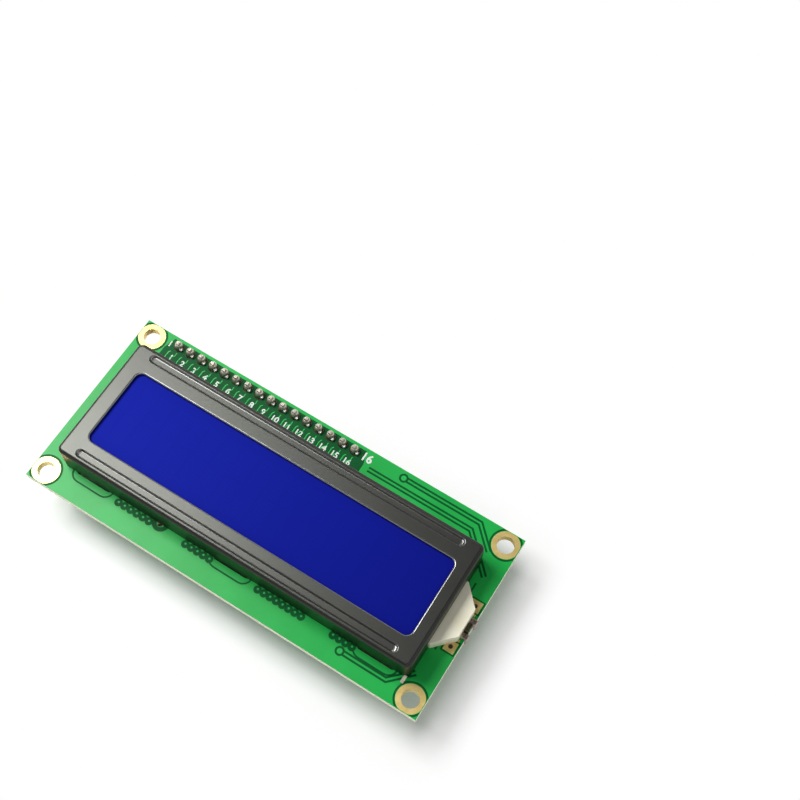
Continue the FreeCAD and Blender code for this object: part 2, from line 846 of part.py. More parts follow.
def build_solder_row(label, base, facing, height):
    """Cones of solder, each round a pin and drawn with eight sides."""
    solder = new_body(label, "pin_row_x - pin_row_length / 2", "pin_row_y", base, facing)
    outline = new_sketch(solder)
    add_octagon(outline, "(solder_base / 2)")
    pad(solder, outline, height, taper=f"-atan((solder_base - solder_top) / 2 / {height})")
    bore = new_sketch(solder)
    add_rectangle(bore, "0", "0", "pin_size", "pin_size")
    pocket(solder, bore, height, upward=True)
    repeat_body_along(solder, "X_Axis", "pin_pitch", "pin_count")
    return solder


# ---------------------------------------------------------------- adapter board and its parts


TRIMMER_PINS = (
    ("-pin_pitch", "-trimmer_pin_row"),
    ("pin_pitch", "-trimmer_pin_row"),
    ("0", "trimmer_pin_row"),
)


def on_backpack(x, y):
    """Place on the adapter board's outer face, from that board's middle as seen from the back."""
    return f"pin_row_x - ({x})", f"backpack_y + {y}", "backpack_face"


def build_backpack_board():
    board = new_body("backpack_board", z="backpack_face")
    outline = new_sketch(board)
    add_rectangle(outline, "pin_row_x", "backpack_y", "backpack_length", "backpack_width")
    pad(board, outline, "backpack_thickness")

    holes = new_sketch(board)
    for x, y in TRIMMER_PINS:
        add_circle(holes, f"pin_row_x - trimmer_x - ({x})", f"backpack_y + trimmer_y + {y}", "pin_hole")
    for name in ("bus", "jumper"):
        for index in range(int(value(f"{name}_count"))):
            row = f"backpack_y + {name}_y + ({index} - ({name}_count - 1) / 2) * pin_pitch"
            add_circle(holes, f"pin_row_x - {name}_x", row, "pin_hole")
    pocket(board, holes, "backpack_thickness", upward=True)

    first_hole = new_sketch(board)
    add_circle(first_hole, "pin_row_x - pin_row_length / 2", "pin_row_y", "pin_hole")
    drilled = pocket(board, first_hole, "backpack_thickness", upward=True)
    repeat_along(board, drilled, "X_Axis", "pin_pitch", "pin_count")
    return board


def gull_wing(body, size, half_body, half_span, shoulder, side=1, row="0"):
    """One lead in the XZ plane: out of the body at the shoulder, down, and out along the board."""
    thickness = f"{size}_thickness"
    knee = f"({half_span}) - {size}_foot"
    outline = new_sketch(body, f"-({row})", plane="XZ_Plane")
    corners = (
        (half_body, f"{shoulder} + {thickness} / 2"),
        (knee, f"{shoulder} + {thickness} / 2"),
        (knee, thickness),
        (half_span, thickness),
        (half_span, "0"),
        (f"{knee} - {thickness}", "0"),
        (f"{knee} - {thickness}", f"{shoulder} - {thickness} / 2"),
        (half_body, f"{shoulder} - {thickness} / 2"),
    )
    add_polygon(outline, [(f"{side} * ({x})", z) for x, z in corners])
    lead = pad(body, outline, f"{size}_width", midplane=True)
    knee_lines = (side * value(knee), side * value(f"{knee} - {thickness}"))
    row_place = value(row)

    def at_knee(edge):
        box = edge.BoundBox
        on_lead = box.XLength < 1e-6 and box.ZLength < 1e-6 and abs(box.Center.y - row_place) < 1e-6
        return on_lead and min(abs(box.XMin - line) for line in knee_lines) < 1e-6

    return round_edges(body, lead, at_knee, f"{size}_bend")


def build_expander():
    chip = new_body("expander_chip", *on_backpack("expander_x", "expander_y"), BACK)
    upper = new_sketch(chip, "expander_shoulder")
    add_rectangle(upper, "0", "0", "expander_width", "expander_length")
    pad(chip, upper, "expander_height - expander_shoulder", taper="-expander_draft")
    lower = new_sketch(chip, "expander_shoulder")
    add_rectangle(lower, "0", "0", "expander_width", "expander_length")
    lower_height = "expander_shoulder - expander_standoff"
    moulding = pad(chip, lower, lower_height, downward=True, taper="-expander_draft")
    top = value("expander_height")

    def is_first_side(edge):
        return is_at_height(edge, top) and edge.BoundBox.XMin > 1

    bevel_edges(chip, moulding, is_first_side, "expander_bevel")
    mark = new_sketch(chip, "expander_height")
    mark_x = "expander_width / 2 - pin_mark"
    mark_y = "-expander_length / 2 + pin_mark"
    add_circle(mark, mark_x, mark_y, "pin_mark")
    pocket(chip, mark, "pin_mark_depth")

    first_row = "expander_y - lead_row_length / 2"
    leads = new_body("expander_leads", *on_backpack("expander_x", first_row), BACK)
    gull_wing(leads, "lead", "expander_width / 2", "lead_span / 2", "expander_shoulder")
    repeat_body_along(leads, "Y_Axis", "lead_pitch", "lead_count")
    mirror_body(leads, "YZ_Plane")
    return [chip, leads]


def build_trimmer():
    place = (*on_backpack("trimmer_x", "trimmer_y"), BACK)
    housing = new_body("trimmer_housing", *place)
    outline = new_sketch(housing, "trimmer_foot")
    add_rectangle(outline, "0", "0", "trimmer_length", "trimmer_width")
    block = pad(housing, outline, "trimmer_height - trimmer_foot")
    round_edges(housing, block, is_upright, "trimmer_edge")
    feet = new_sketch(housing)
    for side in (-1, 1):
        foot_x = f"{side} * (trimmer_length - trimmer_foot_size) / 2"
        add_rectangle(feet, foot_x, "0", "trimmer_foot_size", "trimmer_foot_size")
    pad(housing, feet, "trimmer_foot")

    bore = new_sketch(housing, "trimmer_height")
    add_circle(bore, "0", "0", "rotor_diameter + 2 * rotor_clearance")
    pocket(housing, bore, "rotor_depth")
    eye = new_sketch(housing, "trimmer_height")
    add_circle(eye, "trimmer_hole_x", "trimmer_hole_y", "trimmer_hole")
    pocket(housing, eye, "trimmer_hole")
    tick = new_sketch(housing, "trimmer_height")
    bind(tick, {"AttachmentOffset.Rotation.Angle": "90 - tick_angle / 2"})
    tick_radius = "rotor_diameter / 2 + tick_gap + tick_length / 2"
    add_rectangle(tick, tick_radius, "0", "tick_length", "tick_width")
    mark = pocket(housing, tick, "tick_depth")
    ring = housing.newObject("PartDesign::PolarPattern", "trimmer_ticks")
    ring.Originals = [mark]
    ring.Axis = (origin_part(housing, "Z_Axis"), [""])
    bind(ring, {"Angle": "tick_angle", "Occurrences": "tick_count"})
    housing.Tip = ring
    doc.recompute()

    rotor = new_body("trimmer_rotor", *place)
    disc = new_sketch(rotor, "rotor_floor + rotor_clearance")
    add_circle(disc, "0", "0", "rotor_diameter")
    pad(rotor, disc, "rotor_depth - rotor_clearance + rotor_proud")
    cross = new_sketch(rotor, "trimmer_height + rotor_proud")
    cross_arms(cross, "rotor_diameter", "rotor_slot")
    pocket(rotor, cross, "rotor_slot_depth")

    leads = new_body("trimmer_leads", *place)
    section = new_sketch(leads, "-backpack_thickness - trimmer_pin_reach")
    for x, y in TRIMMER_PINS:
        add_rectangle(section, x, y, "trimmer_pin", "trimmer_pin")
    pad(leads, section, "backpack_thickness + trimmer_pin_reach + trimmer_foot")
    return [housing, rotor, leads]


def cross_arms(sketch, reach, width):
    """Plus-shaped outline, each arm longer than the disc it cuts."""
    half = f"({width}) / 2"
    far = f"({reach}) * 0.6"
    add_polygon(
        sketch,
        (
            (half, half),
            (far, half),
            (far, f"-{half}"),
            (half, f"-{half}"),
            (half, f"-{far}"),
            (f"-{half}", f"-{far}"),
            (f"-{half}", f"-{half}"),
            (f"-{far}", f"-{half}"),
            (f"-{far}", half),
            (f"-{half}", half),
            (f"-{half}", far),
            (half, far),
        ),
    )


def build_angled_header(name, count, facing, side):
    """Right-angled pin header: its local X points out over the board's edge."""
    row = f"({count} - 1) * pin_pitch / 2"
    place = (*on_backpack(f"{name}_x", f"{name}_y - {side} * {row}"), facing)
    block = new_body(f"{name}_header_block", *place)
    plan = new_sketch(block)
    chamfered_block(plan, "block_width", "pin_pitch", "block_chamfer")
    position = pad(block, plan, "block_height")
    repeat_along(block, position, "Y_Axis", "pin_pitch", count)

    pins = new_body(f"{name}_header_pins", *place)
    outline = new_sketch(pins, plane="XZ_Plane")
    half = "pin_size / 2"
    tail = "-backpack_thickness - pin_tail"
    add_polygon(
        outline,
        (
            (f"-{half}", tail),
            (half, tail),
            (half, f"angle_pin_axis - {half}"),
            ("angle_pin_reach", f"angle_pin_axis - {half}"),
            ("angle_pin_reach", f"angle_pin_axis + {half}"),
            (f"-{half}", f"angle_pin_axis + {half}"),
        ),
    )
    pin = pad(pins, outline, "pin_size", midplane=True)
    inner = (value(half), value(f"angle_pin_axis - {half}"))
    outer = (value(f"-{half}"), value(f"angle_pin_axis + {half}"))

    def along_y_at(x, z):
        def keep(edge):
            box = edge.BoundBox
            off_line = abs(box.XMin - x) + abs(box.ZMin - z)
            return box.XLength < 1e-6 and box.ZLength < 1e-6 and off_line < 1e-6

        return keep

    pin = round_edges(pins, pin, along_y_at(*inner), "angle_pin_bend")
    round_edges(pins, pin, along_y_at(*outer), "angle_pin_bend + pin_size")
    repeat_body_along(pins, "Y_Axis", "pin_pitch", count)
    return [block, pins]


def build_jumper_cap():
    place = (*on_backpack("jumper_x", "jumper_y"), BACK_OUTWARD)
    middle = "cap_start + cap_length / 2"
    far_end = "cap_start + cap_length"
    top = "cap_floor + cap_height"
    cap = new_body("jumper_cap", *place)
    outline = new_sketch(cap, "cap_floor")
    add_rectangle(outline, middle, "0", "cap_length", "cap_width")
    block = pad(cap, outline, "cap_height")
    round_edges(cap, block, is_upright, "cap_edge")
    step = new_sketch(cap, top)
    add_rectangle(step, f"{far_end} - cap_step_length / 2", "0", "cap_step_length", "cap_width + 1")
    pocket(cap, step, "cap_step")
    notch = new_sketch(cap, top)
    add_slot(notch, far_end, "0", "(2 * cap_notch_length)", "cap_notch")
    pocket(cap, notch, "cap_height")
    cavities = new_sketch(cap, "angle_pin_axis - cap_cavity_height / 2")
    for side in (-1, 1):
        add_rectangle(cavities, middle, f"{side} * pin_pitch / 2", "cap_length + 1", "cap_cavity")
    pocket(cap, cavities, "cap_cavity_height", upward=True)

    contact = new_body("jumper_contact", *place)
    bar_end = f"{far_end} - cap_edge"
    leaf_end = f"{bar_end} - contact_length"
    leaf_outer = "pin_pitch / 2 + contact_leaf / 2"
    leaf_inner = "pin_pitch / 2 - contact_leaf / 2"
    plan = new_sketch(contact, "contact_floor")
    add_polygon(
        plan,
        (
            (leaf_end, f"-({leaf_outer})"),
            (bar_end, f"-({leaf_outer})"),
            (bar_end, leaf_outer),
            (leaf_end, leaf_outer),
            (leaf_end, leaf_inner),
            (f"{bar_end} - contact_bar", leaf_inner),
            (f"{bar_end} - contact_bar", f"-({leaf_inner})"),
            (leaf_end, f"-({leaf_inner})"),
        ),
    )
    pad(contact, plan, "contact_thickness")
    return [cap, contact]


def build_transistor():
    across = BACK.multiply(Rotation(Vector(0, 0, 1), 90))
    place = (*on_backpack("transistor_x", "transistor_y"), across)
    shoulder = "(transistor_standoff + transistor_height / 2)"
    body = new_body("transistor_body", *place)
    outline = new_sketch(body, "transistor_standoff")
    add_rectangle(outline, "0", "0", "transistor_width", "transistor_length")
    block = pad(body, outline, "transistor_height")
    top = value("transistor_standoff + transistor_height")
    bevel_edges(body, block, lambda edge: is_at_height(edge, top), "transistor_standoff")

    leads = new_body("transistor_leads", *place)
    ends = ("transistor_width / 2", "transistor_span / 2", shoulder)
    gull_wing(leads, "small_lead", *ends)
    for row in ("transistor_pitch / 2", "-transistor_pitch / 2"):
        gull_wing(leads, "small_lead", *ends, side=-1, row=row)
    return [body, leads]


def build_small_parts():
    pieces = []
    for number, (x, y, along_y) in enumerate(BACKPACK_RESISTORS, start=1):
        label = f"backpack_resistor_{number}"
        pieces.append(build_chip(label, on_backpack(x, y), along_y, "chip_height"))
    capacitor_place = on_backpack("capacitor_x", "capacitor_y")
    pieces.append(build_chip("bypass_capacitor", capacitor_place, True, "capacitor_height"))
    lamp_place = on_backpack("power_lamp_x", "power_lamp_y")
    pieces.append(build_chip("power_lamp", lamp_place, True, "chip_height", "power_lamp_lens"))
    return pieces


# ---------------------------------------------------------------- build, check and write


def check_document(nodes):
    for item in doc.Objects:
        if {"Invalid", "Error"} & set(item.State):
            raise RuntimeError(f"{item.Label} did not compute: {item.State}")
    for node in nodes:
        if node.Shape.isNull() or not node.Shape.isValid() or not node.Shape.Solids:
            raise RuntimeError(f"{node.Label} has no sound shape")


def write_parts(nodes):
    os.makedirs("parts", exist_ok=True)
    for node in nodes:
        node.Shape.exportStep(os.path.join("parts", node.Label + ".step"))


fill_sheet()
nodes = [build_main_board(), build_bezel()]
nodes += build_display_cell()
nodes.append(build_light_guide())
nodes += build_backlight_lamp()
nodes += build_board_parts()
nodes += build_pin_row()
nodes.append(build_backpack_board())
nodes += build_expander()
nodes += build_trimmer()
nodes += build_angled_header("bus", "bus_count", BACK, 1)
nodes += build_angled_header("jumper", "jumper_count", BACK_OUTWARD, -1)
nodes += build_jumper_cap()
nodes += build_transistor()
nodes += build_small_parts()
doc.recompute()
check_document(nodes)
write_parts(nodes)
for node in nodes:
    print(node.Label, len(node.Shape.Solids), round(node.Shape.Volume, 3))
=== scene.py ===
import math

import bmesh
import bpy
from mathutils import Matrix, Vector


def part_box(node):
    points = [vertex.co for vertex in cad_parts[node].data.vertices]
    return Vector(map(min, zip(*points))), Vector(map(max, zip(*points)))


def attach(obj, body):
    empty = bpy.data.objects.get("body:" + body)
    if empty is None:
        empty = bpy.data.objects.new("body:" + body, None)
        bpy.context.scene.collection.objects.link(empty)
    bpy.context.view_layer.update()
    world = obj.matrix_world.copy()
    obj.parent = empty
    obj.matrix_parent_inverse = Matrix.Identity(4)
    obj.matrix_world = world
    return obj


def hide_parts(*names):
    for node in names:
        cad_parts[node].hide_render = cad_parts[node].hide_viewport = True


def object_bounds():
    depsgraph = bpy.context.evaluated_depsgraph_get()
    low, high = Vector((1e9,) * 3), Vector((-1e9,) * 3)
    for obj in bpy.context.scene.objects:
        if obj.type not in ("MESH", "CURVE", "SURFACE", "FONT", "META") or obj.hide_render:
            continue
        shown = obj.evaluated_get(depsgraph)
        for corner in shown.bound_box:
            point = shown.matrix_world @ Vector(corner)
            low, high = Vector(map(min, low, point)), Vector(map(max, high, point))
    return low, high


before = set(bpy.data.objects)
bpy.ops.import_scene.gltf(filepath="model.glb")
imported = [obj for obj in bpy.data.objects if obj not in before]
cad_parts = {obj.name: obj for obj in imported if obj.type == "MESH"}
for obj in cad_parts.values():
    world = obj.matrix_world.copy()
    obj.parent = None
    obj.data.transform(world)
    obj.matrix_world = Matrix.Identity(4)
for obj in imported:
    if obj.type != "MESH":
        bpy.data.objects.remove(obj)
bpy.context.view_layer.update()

# Character display module: finishes, printed boards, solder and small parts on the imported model.
# Lengths are in millimetres until a mesh is made, where MM turns them into metres.

MM = 0.001
BODY = "module"
PINS, PIN_WIDTH = 16, 0.64


def node_box(node):
    """Lowest and highest corner of a node in millimetres."""
    low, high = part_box(node)
    return low / MM, high / MM


BOARD_BACK, BOARD_FRONT = (corner.z for corner in node_box("main_board"))
ADAPTER_FACE = node_box("backpack_board")[0].z


def paint(red, green, blue):
    """Colour of a paint chip, 0 to 255 a channel, as the shader's linear colour."""

    def linear(channel):
        share = channel / 255
        return share / 12.92 if share <= 0.04045 else ((share + 0.055) / 1.055) ** 2.4

    return (linear(red), linear(green), linear(blue), 1.0)


# ---------------------------------------------------------------- nodes and finishes


class Field:
    """A number that varies over a surface. Arithmetic on it adds Math nodes to its tree."""

    def __init__(self, nodes, socket):
        self.nodes = nodes
        self.socket = socket

    def __add__(self, other):
        return self.nodes.math("ADD", self, other)

    def __radd__(self, other):
        return self.nodes.math("ADD", other, self)

    def __sub__(self, other):
        return self.nodes.math("SUBTRACT", self, other)

    def __rsub__(self, other):
        return self.nodes.math("SUBTRACT", other, self)

    def __mul__(self, other):
        return self.nodes.math("MULTIPLY", self, other)

    def __rmul__(self, other):
        return self.nodes.math("MULTIPLY", other, self)

    def __truediv__(self, other):
        return self.nodes.math("DIVIDE", self, other)

    def __mod__(self, other):
        return self.nodes.math("FLOORED_MODULO", self, other)

    def __gt__(self, other):
        return self.nodes.math("GREATER_THAN", self, other)

    def __lt__(self, other):
        return self.nodes.math("LESS_THAN", self, other)

    def __abs__(self):
        return self.nodes.math("ABSOLUTE", self)


class Nodes:
    """The nodes of a material, of the room or of a shape that repeats."""

    def __init__(self, tree):
        self.tree = tree

    def node(self, kind, settings=None, inputs=None, output=0):
        """Add a node, a shader node unless its kind is written in full, and give one of its outputs."""
        node = self.tree.nodes.new(kind if "Node" in kind else "ShaderNode" + kind)
        for key, setting in (settings or {}).items():
            if key == "stops":
                self.set_stops(node.color_ramp, setting)
            else:
                setattr(node, key, setting)
        for socket, source in (inputs or {}).items():
            self.feed(node.inputs[socket], source)
        return Field(self, node.outputs[output])

    def set_stops(self, ramp, stops):
        while len(ramp.elements) < len(stops):
            ramp.elements.new(1.0)
        for element, (position, colour) in zip(ramp.elements, stops):
            element.position = position
            element.color = paint(*colour)

    def feed(self, socket, source):
        if isinstance(source, Field):
            self.tree.links.new(source.socket, socket)
        else:
            socket.default_value = source

    def math(self, operation, first, second=0.0):
        return self.node("Math", {"operation": operation}, {0: first, 1: second})

    def length(self, x, y):
        return self.math("SQRT", x * x + y * y)

    def ray(self, kind):
        """One where the light path is of a kind, such as Camera or Glossy."""
        return self.node("LightPath", output=f"Is {kind} Ray")


class Finish(Nodes):
    """A material whose colour, gloss and relief follow the place on the piece."""

    SOCKETS = {"colour": "Base Color", "rough": "Roughness", "metal": "Metallic", "coat": "Coat Weight"}

    def __init__(self, name, constants):
        self.material = bpy.data.materials.new(name)
        self.material.use_nodes = True
        super().__init__(self.material.node_tree)
        self.shader = self.tree.nodes["Principled BSDF"]
        for socket, number in constants.items():
            self.shader.inputs[socket].default_value = number

    def set(self, **sockets):
        for name, source in sockets.items():
            self.feed(self.shader.inputs[self.SOCKETS[name]], source)

    def place(self):
        """Where the surface point lies, as three fields in millimetres."""
        point = self.node("TexCoord", output="Object")
        parts = [self.node("SeparateXYZ", inputs={0: point}, output=axis) for axis in range(3)]
        return [part * (1 / MM) for part in parts]

    def upward(self):
        """How far the surface looks up: 1 on top, 0 on an upright wall, -1 underneath."""
        normal = self.node("NewGeometry", output="Normal")
        return self.node("SeparateXYZ", inputs={0: normal}, output=2)

    def grain(self, size, detail=2.0, stretch=(1, 1, 1)):
        """Noise from 0 to 1 whose grains are about so many millimetres across."""
        point = self.node("TexCoord", output="Object")
        scaled = self.node("Mapping", inputs={"Vector": point, "Scale": stretch})
        settings = {"Vector": scaled, "Scale": 1 / (size * MM), "Detail": detail}
        return self.node("TexNoise", inputs=settings)

    def shade(self, field, *stops):
        """Colours along a field, each stop being a position and a paint chip."""
        return self.node("ValToRGB", {"stops": stops}, {0: field})

    def cloud(self, light, dark, size, detail=3.0):
        """Soft patches of two colours."""
        return self.shade(self.grain(size, detail), (0.3, dark), (0.7, light))

    def blend(self, share, first, second):
        second = second if isinstance(second, Field) else paint(*second)
        return self.node("Mix", {"data_type": "RGBA"}, {0: share, 6: first, 7: second}, output=2)

    def relief(self, height, depth):
        """Bump of a height field, depth being its full height in millimetres."""
        settings = {"Height": height, "Distance": depth * MM, "Strength": 1.0}
        self.feed(self.shader.inputs["Normal"], self.node("Bump", inputs=settings))


def mottled(name, light, dark, size, rough, rough_spread, constants, depth=0.0, relief_grain=0.0):
    """A plain finish with soft colour variation, uneven gloss and a fine surface texture."""
    finish = Finish(name, constants)
    gloss = finish.grain(size * 0.4, 4.0)
    finish.set(colour=finish.cloud(light, dark, size), rough=gloss * (2 * rough_spread) + (rough - rough_spread))
    if depth:
        finish.relief(finish.grain(relief_grain, 3.0), depth)
    return finish


def board_finish(name, light, dark, edge_light, edge_dark, face_rough):
    """Solder mask over a glass-cloth board, with bare laminate in layers on its cut edges."""
    thread, layer = 0.5, 0.35
    finish = Finish(name, {"IOR": 1.36})
    x, y, _ = finish.place()
    layers = finish.grain(layer, 3.0, (0.2, 0.2, 1.6))
    edge_colour = finish.shade(layers, (0.35, edge_dark), (0.65, edge_light))
    is_edge = abs(finish.upward()) < 0.5
    finish.set(colour=finish.blend(is_edge, finish.cloud(light, dark, 9.0), edge_colour))
    finish.set(rough=is_edge * 0.4 + face_rough + finish.grain(4.0) * 0.06)
    warp, weft = (abs((along % thread) - thread / 2) for along in (x, y))
    finish.relief(((warp + weft) * 1.2 + finish.grain(2.2, 3.0)) * (1 - is_edge), 0.004)
    return finish


def steel_finish():
    """Satin black paint on pressed steel.

    It is glossier where it drew thin over the slopes inside the cover's outline, most of all at the
    window's lip, and worn towards metal on the folds, the skirts and the twisted tabs.
    """
    fold_width, lip_reach = 1.3, 8.8
    slope_coat, lip_coat = 0.55, 0.45
    skirt_metal, tab_metal = 0.62, 0.85
    constants = {"IOR": 1.78, "Specular Tint": (0.97, 1.0, 0.9, 1.0), "Coat Roughness": 0.22, "Coat IOR": 2.5}
    finish = mottled("black_steel", (12, 12, 10), (8, 8, 7), 7.0, 0.365, 0.02, constants, 0.0016, 0.35)
    low, high = node_box("bezel")
    x, y, z = finish.place()
    from_middle_x = abs(x - (low.x + high.x) / 2)
    from_middle_y = abs(y - (low.y + high.y) / 2)
    inside_x = from_middle_x < (high.x - low.x) / 2 - fold_width
    inside = inside_x * (from_middle_y < (high.y - low.y) / 2 - fold_width)
    tabs = z < BOARD_FRONT
    upward = finish.upward()
    slope = (upward > 0.3) * (upward < 0.985) * inside * (1 - tabs)
    finish.set(coat=slope * (slope_coat + (from_middle_y < lip_reach) * lip_coat))
    finish.set(metal=(upward < 0.9) * (1 - inside) * (1 - tabs) * skirt_metal + tabs * tab_metal)
    return finish


def cone_finish():
    """Solder whose colour runs from dark brown at its foot to pale where it climbs the pins: painted shade at the
    foot and painted light at the top, with random patches.
    """
    cone_height = 1.5
    finish = Finish("header_solder", {"Metallic": 0.6})
    _, _, z = finish.place()
    from_face = abs(z - (BOARD_BACK + BOARD_FRONT) / 2) - (BOARD_FRONT - BOARD_BACK) / 2
    # Darker towards the board's face and lighter up the pin: painted shade and painted light.
    painted_light_and_grain = from_face / cone_height * 0.7 + finish.grain(0.8, 3.0) * 0.6 - 0.15
    finish.set(colour=finish.shade(painted_light_and_grain, (0.1, (60, 42, 34)), (0.45, (152, 132, 120)), (0.75, (206, 200, 184))))
    finish.set(rough=0.26 + finish.grain(0.4) * 0.1)
    finish.relief(finish.grain(0.4, 3.0), 0.03)
    return finish


def display_finish():
    """Blue display film with the faint grid of its character dots, its colour painted lighter towards its left end:
    painted light from the key lamp on that side.
    """
    dot_width, dot_height, dot_gap = 0.6, 0.7, 0.05
    column_pitch, column_width = 3.55, 3.0
    line_middle, line_half = 3.0, 2.8
    finish = Finish("blue_display", {"IOR": 1.45, "Specular IOR Level": 0.02})
    low, high = node_box("front_polarizer")
    x, y, _ = finish.place()
    from_middle_x, from_middle_y = x - (low.x + high.x) / 2, y - (low.y + high.y) / 2
    gap = ((from_middle_x % dot_width < dot_gap) + (from_middle_y % dot_height < dot_gap)) > 0.5
    between_columns = ((x - low.x) % column_pitch) > column_width
    between_lines = abs(abs(from_middle_y) - line_middle) > line_half
    plain = (between_columns + between_lines) > 0.5
    # The colour runs lighter towards the left end: painted light, with random patches.
    painted_light_and_grain = (x - low.x) / (high.x - low.x) * 0.75 + finish.grain(26.0) * 0.25
    base = finish.shade(painted_light_and_grain, (0.1, (17, 31, 155)), (0.9, (13, 22, 128)))
    dotted = finish.blend(gap * (1 - plain) * 0.2, base, (9, 14, 104))
    finish.set(colour=finish.blend(plain * 0.1, dotted, (10, 16, 112)))
    finish.set(rough=0.42 + finish.grain(3.0) * 0.05)
    return finish


def trimmer_finish():
    """Blue moulding whose ring sunk round its rotor is painted dark blue: painted shade in the recess."""
    ring_inner, ring_outer, ring_bottom, ring_top = 1.55, 2.9, 0.03, 0.6
    finish = Finish("blue_moulding", {"IOR": 1.5, "Coat Weight": 0.1, "Coat Roughness": 0.3})
    low, high = node_box("trimmer_housing")
    middle = (low + high) / 2
    x, y, z = finish.place()
    reach = finish.length(x - middle.x, y - middle.y)
    # Dark blue on the walls of the sunk ring round the rotor: painted shade.
    sunk_ring_shade = (z - low.z > ring_bottom) * (z - low.z < ring_top) * (reach < ring_outer) * (reach > ring_inner)
    finish.set(colour=finish.blend(sunk_ring_shade, finish.cloud((84, 160, 240), (62, 136, 222), 1.6), (14, 48, 128)))
    finish.set(rough=0.42 + finish.grain(0.8) * 0.12)
    finish.relief(finish.grain(0.12), 0.006)
    return finish


def rotor_finish():
    """Cream rotor, painted brown-grey and made partly metal at the bottom of its cross slot: painted shade in the
    slot.
    """
    finish = Finish("cream_rotor", {"IOR": 1.5})
    _, _, z = finish.place()
    deep = (z - node_box("trimmer_rotor")[0].z) > 0.35
    body = finish.cloud((246, 240, 226), (226, 216, 196), 0.7)
    # Brown-grey at the bottom of the cross slot: painted shade.
    slot_shade = finish.cloud((150, 130, 108), (96, 76, 58), 0.25)
    finish.set(colour=finish.blend(deep, body, slot_shade), metal=deep * 0.7)
    finish.set(rough=0.4 - deep * 0.08 + finish.grain(0.4) * 0.08)
    return finish


# Light and dark paint chip, patch size, roughness and its spread, the shader's own constants, and
# where the surface has a texture, its depth and grain.
PLAIN_FINISHES = {
    "green_gap": ((4, 92, 42), (2, 80, 36), 4.0, 0.4, 0.05, {"IOR": 1.2}),
    "green_copper": ((50, 194, 92), (40, 182, 84), 6.0, 0.3, 0.05, {"IOR": 1.36}),
    "white_ink": ((238, 241, 238), (214, 220, 214), 0.6, 0.6, 0.08, {}, 0.004, 0.15),
    "gold_plate": ((246, 222, 146), (224, 198, 122), 1.6, 0.36, 0.08, {"Metallic": 0.6}, 0.006, 0.4),
    "darker_gold_plate": ((216, 172, 100), (182, 136, 72), 1.6, 0.4, 0.08, {"Metallic": 0.6}, 0.006, 0.4),
    "pale_gold_pin": ((222, 206, 164), (190, 172, 128), 1.2, 0.28, 0.07, {"Metallic": 1.0}, 0.004, 0.2),
    "tinned_pin": ((206, 203, 194), (160, 155, 144), 0.8, 0.28, 0.08, {"Metallic": 1.0}, 0.006, 0.2),
    "pin_end": ((206, 202, 186), (160, 152, 136), 0.6, 0.3, 0.08, {"Metallic": 0.5}, 0.01, 0.2),
    "solder": ((206, 205, 200), (140, 137, 130), 0.5, 0.24, 0.1, {"Metallic": 1.0}, 0.02, 0.35),
    "dull_solder": ((186, 172, 160), (118, 102, 92), 0.7, 0.3, 0.08, {"Metallic": 0.65}, 0.03, 0.4),
    "fluxed_solder": ((176, 174, 166), (34, 31, 28), 0.8, 0.26, 0.1, {"Metallic": 0.75}, 0.03, 0.35),
    # Near-white solder for the beads on the front header cones: painted glint.
    "painted_glint_solder": ((252, 251, 246), (238, 236, 230), 0.3, 0.2, 0.03, {"Metallic": 0.4}),
    "black_plastic": ((24, 24, 24), (15, 15, 15), 1.4, 0.44, 0.08, {}, 0.01, 0.12),
    "cap_plastic": ((84, 84, 81), (66, 66, 64), 2.2, 0.5, 0.07, {}, 0.01, 0.12),
    "chip_plastic": ((76, 73, 68), (60, 58, 54), 0.9, 0.55, 0.08, {}, 0.014, 0.08),
    "black_resin": ((14, 13, 13), (8, 8, 8), 3.0, 0.2, 0.05, {"IOR": 1.5}, 0.02, 2.4),
    "milky_plastic": ((250, 247, 224), (240, 235, 208), 4.0, 0.36, 0.06, {"Coat Weight": 0.2}, 0.006, 0.6),
    "white_film": ((240, 240, 236), (228, 228, 224), 5.0, 0.4, 0.05, {}),
    "display_glass": ((70, 96, 150), (52, 78, 134), 6.0, 0.12, 0.03, {"Coat Weight": 0.6}),
    "blue_film": ((22, 34, 140), (14, 24, 116), 6.0, 0.2, 0.04, {"Coat Weight": 0.4}),
    "contact_rubber": ((196, 150, 140), (168, 122, 114), 0.5, 0.7, 0.06, {}, 0.01, 0.2),
    "olive_lamp": ((74, 72, 44), (48, 46, 28), 0.5, 0.35, 0.08, {}, 0.01, 0.2),
    "tan_ceramic": ((214, 158, 92), (190, 130, 70), 0.4, 0.5, 0.08, {}, 0.006, 0.1),
    "resistor_coat": ((40, 38, 36), (26, 25, 24), 0.3, 0.35, 0.08, {}, 0.006, 0.1),
    "lamp_lens": ((244, 243, 226), (226, 222, 196), 0.4, 0.25, 0.06, {"Coat Weight": 0.5}),
    # Dark brown for discs set in bores: painted shade inside the holes.
    "painted_bore_shade": ((66, 50, 28), (44, 34, 20), 0.4, 0.6, 0.1, {}),
}
FINISHES = {name: mottled(name, *look) for name, look in PLAIN_FINISHES.items()} | {
    "green_board": board_finish("green_board", (24, 178, 76), (14, 165, 66), (250, 249, 230), (240, 238, 212), 0.33),
    "black_board": board_finish("black_board", (20, 20, 21), (14, 14, 15), (66, 62, 48), (50, 47, 37), 0.34),
    "black_steel": steel_finish(),
    "header_solder": cone_finish(),
    "blue_display": display_finish(),
    "blue_moulding": trimmer_finish(),
    "cream_rotor": rotor_finish(),
}


# ---------------------------------------------------------------- meshes


def show(data, name):
    """Put new data into the scene as an object at the origin."""
    item = bpy.data.objects.new(name, data)
    bpy.context.scene.collection.objects.link(item)
    return item


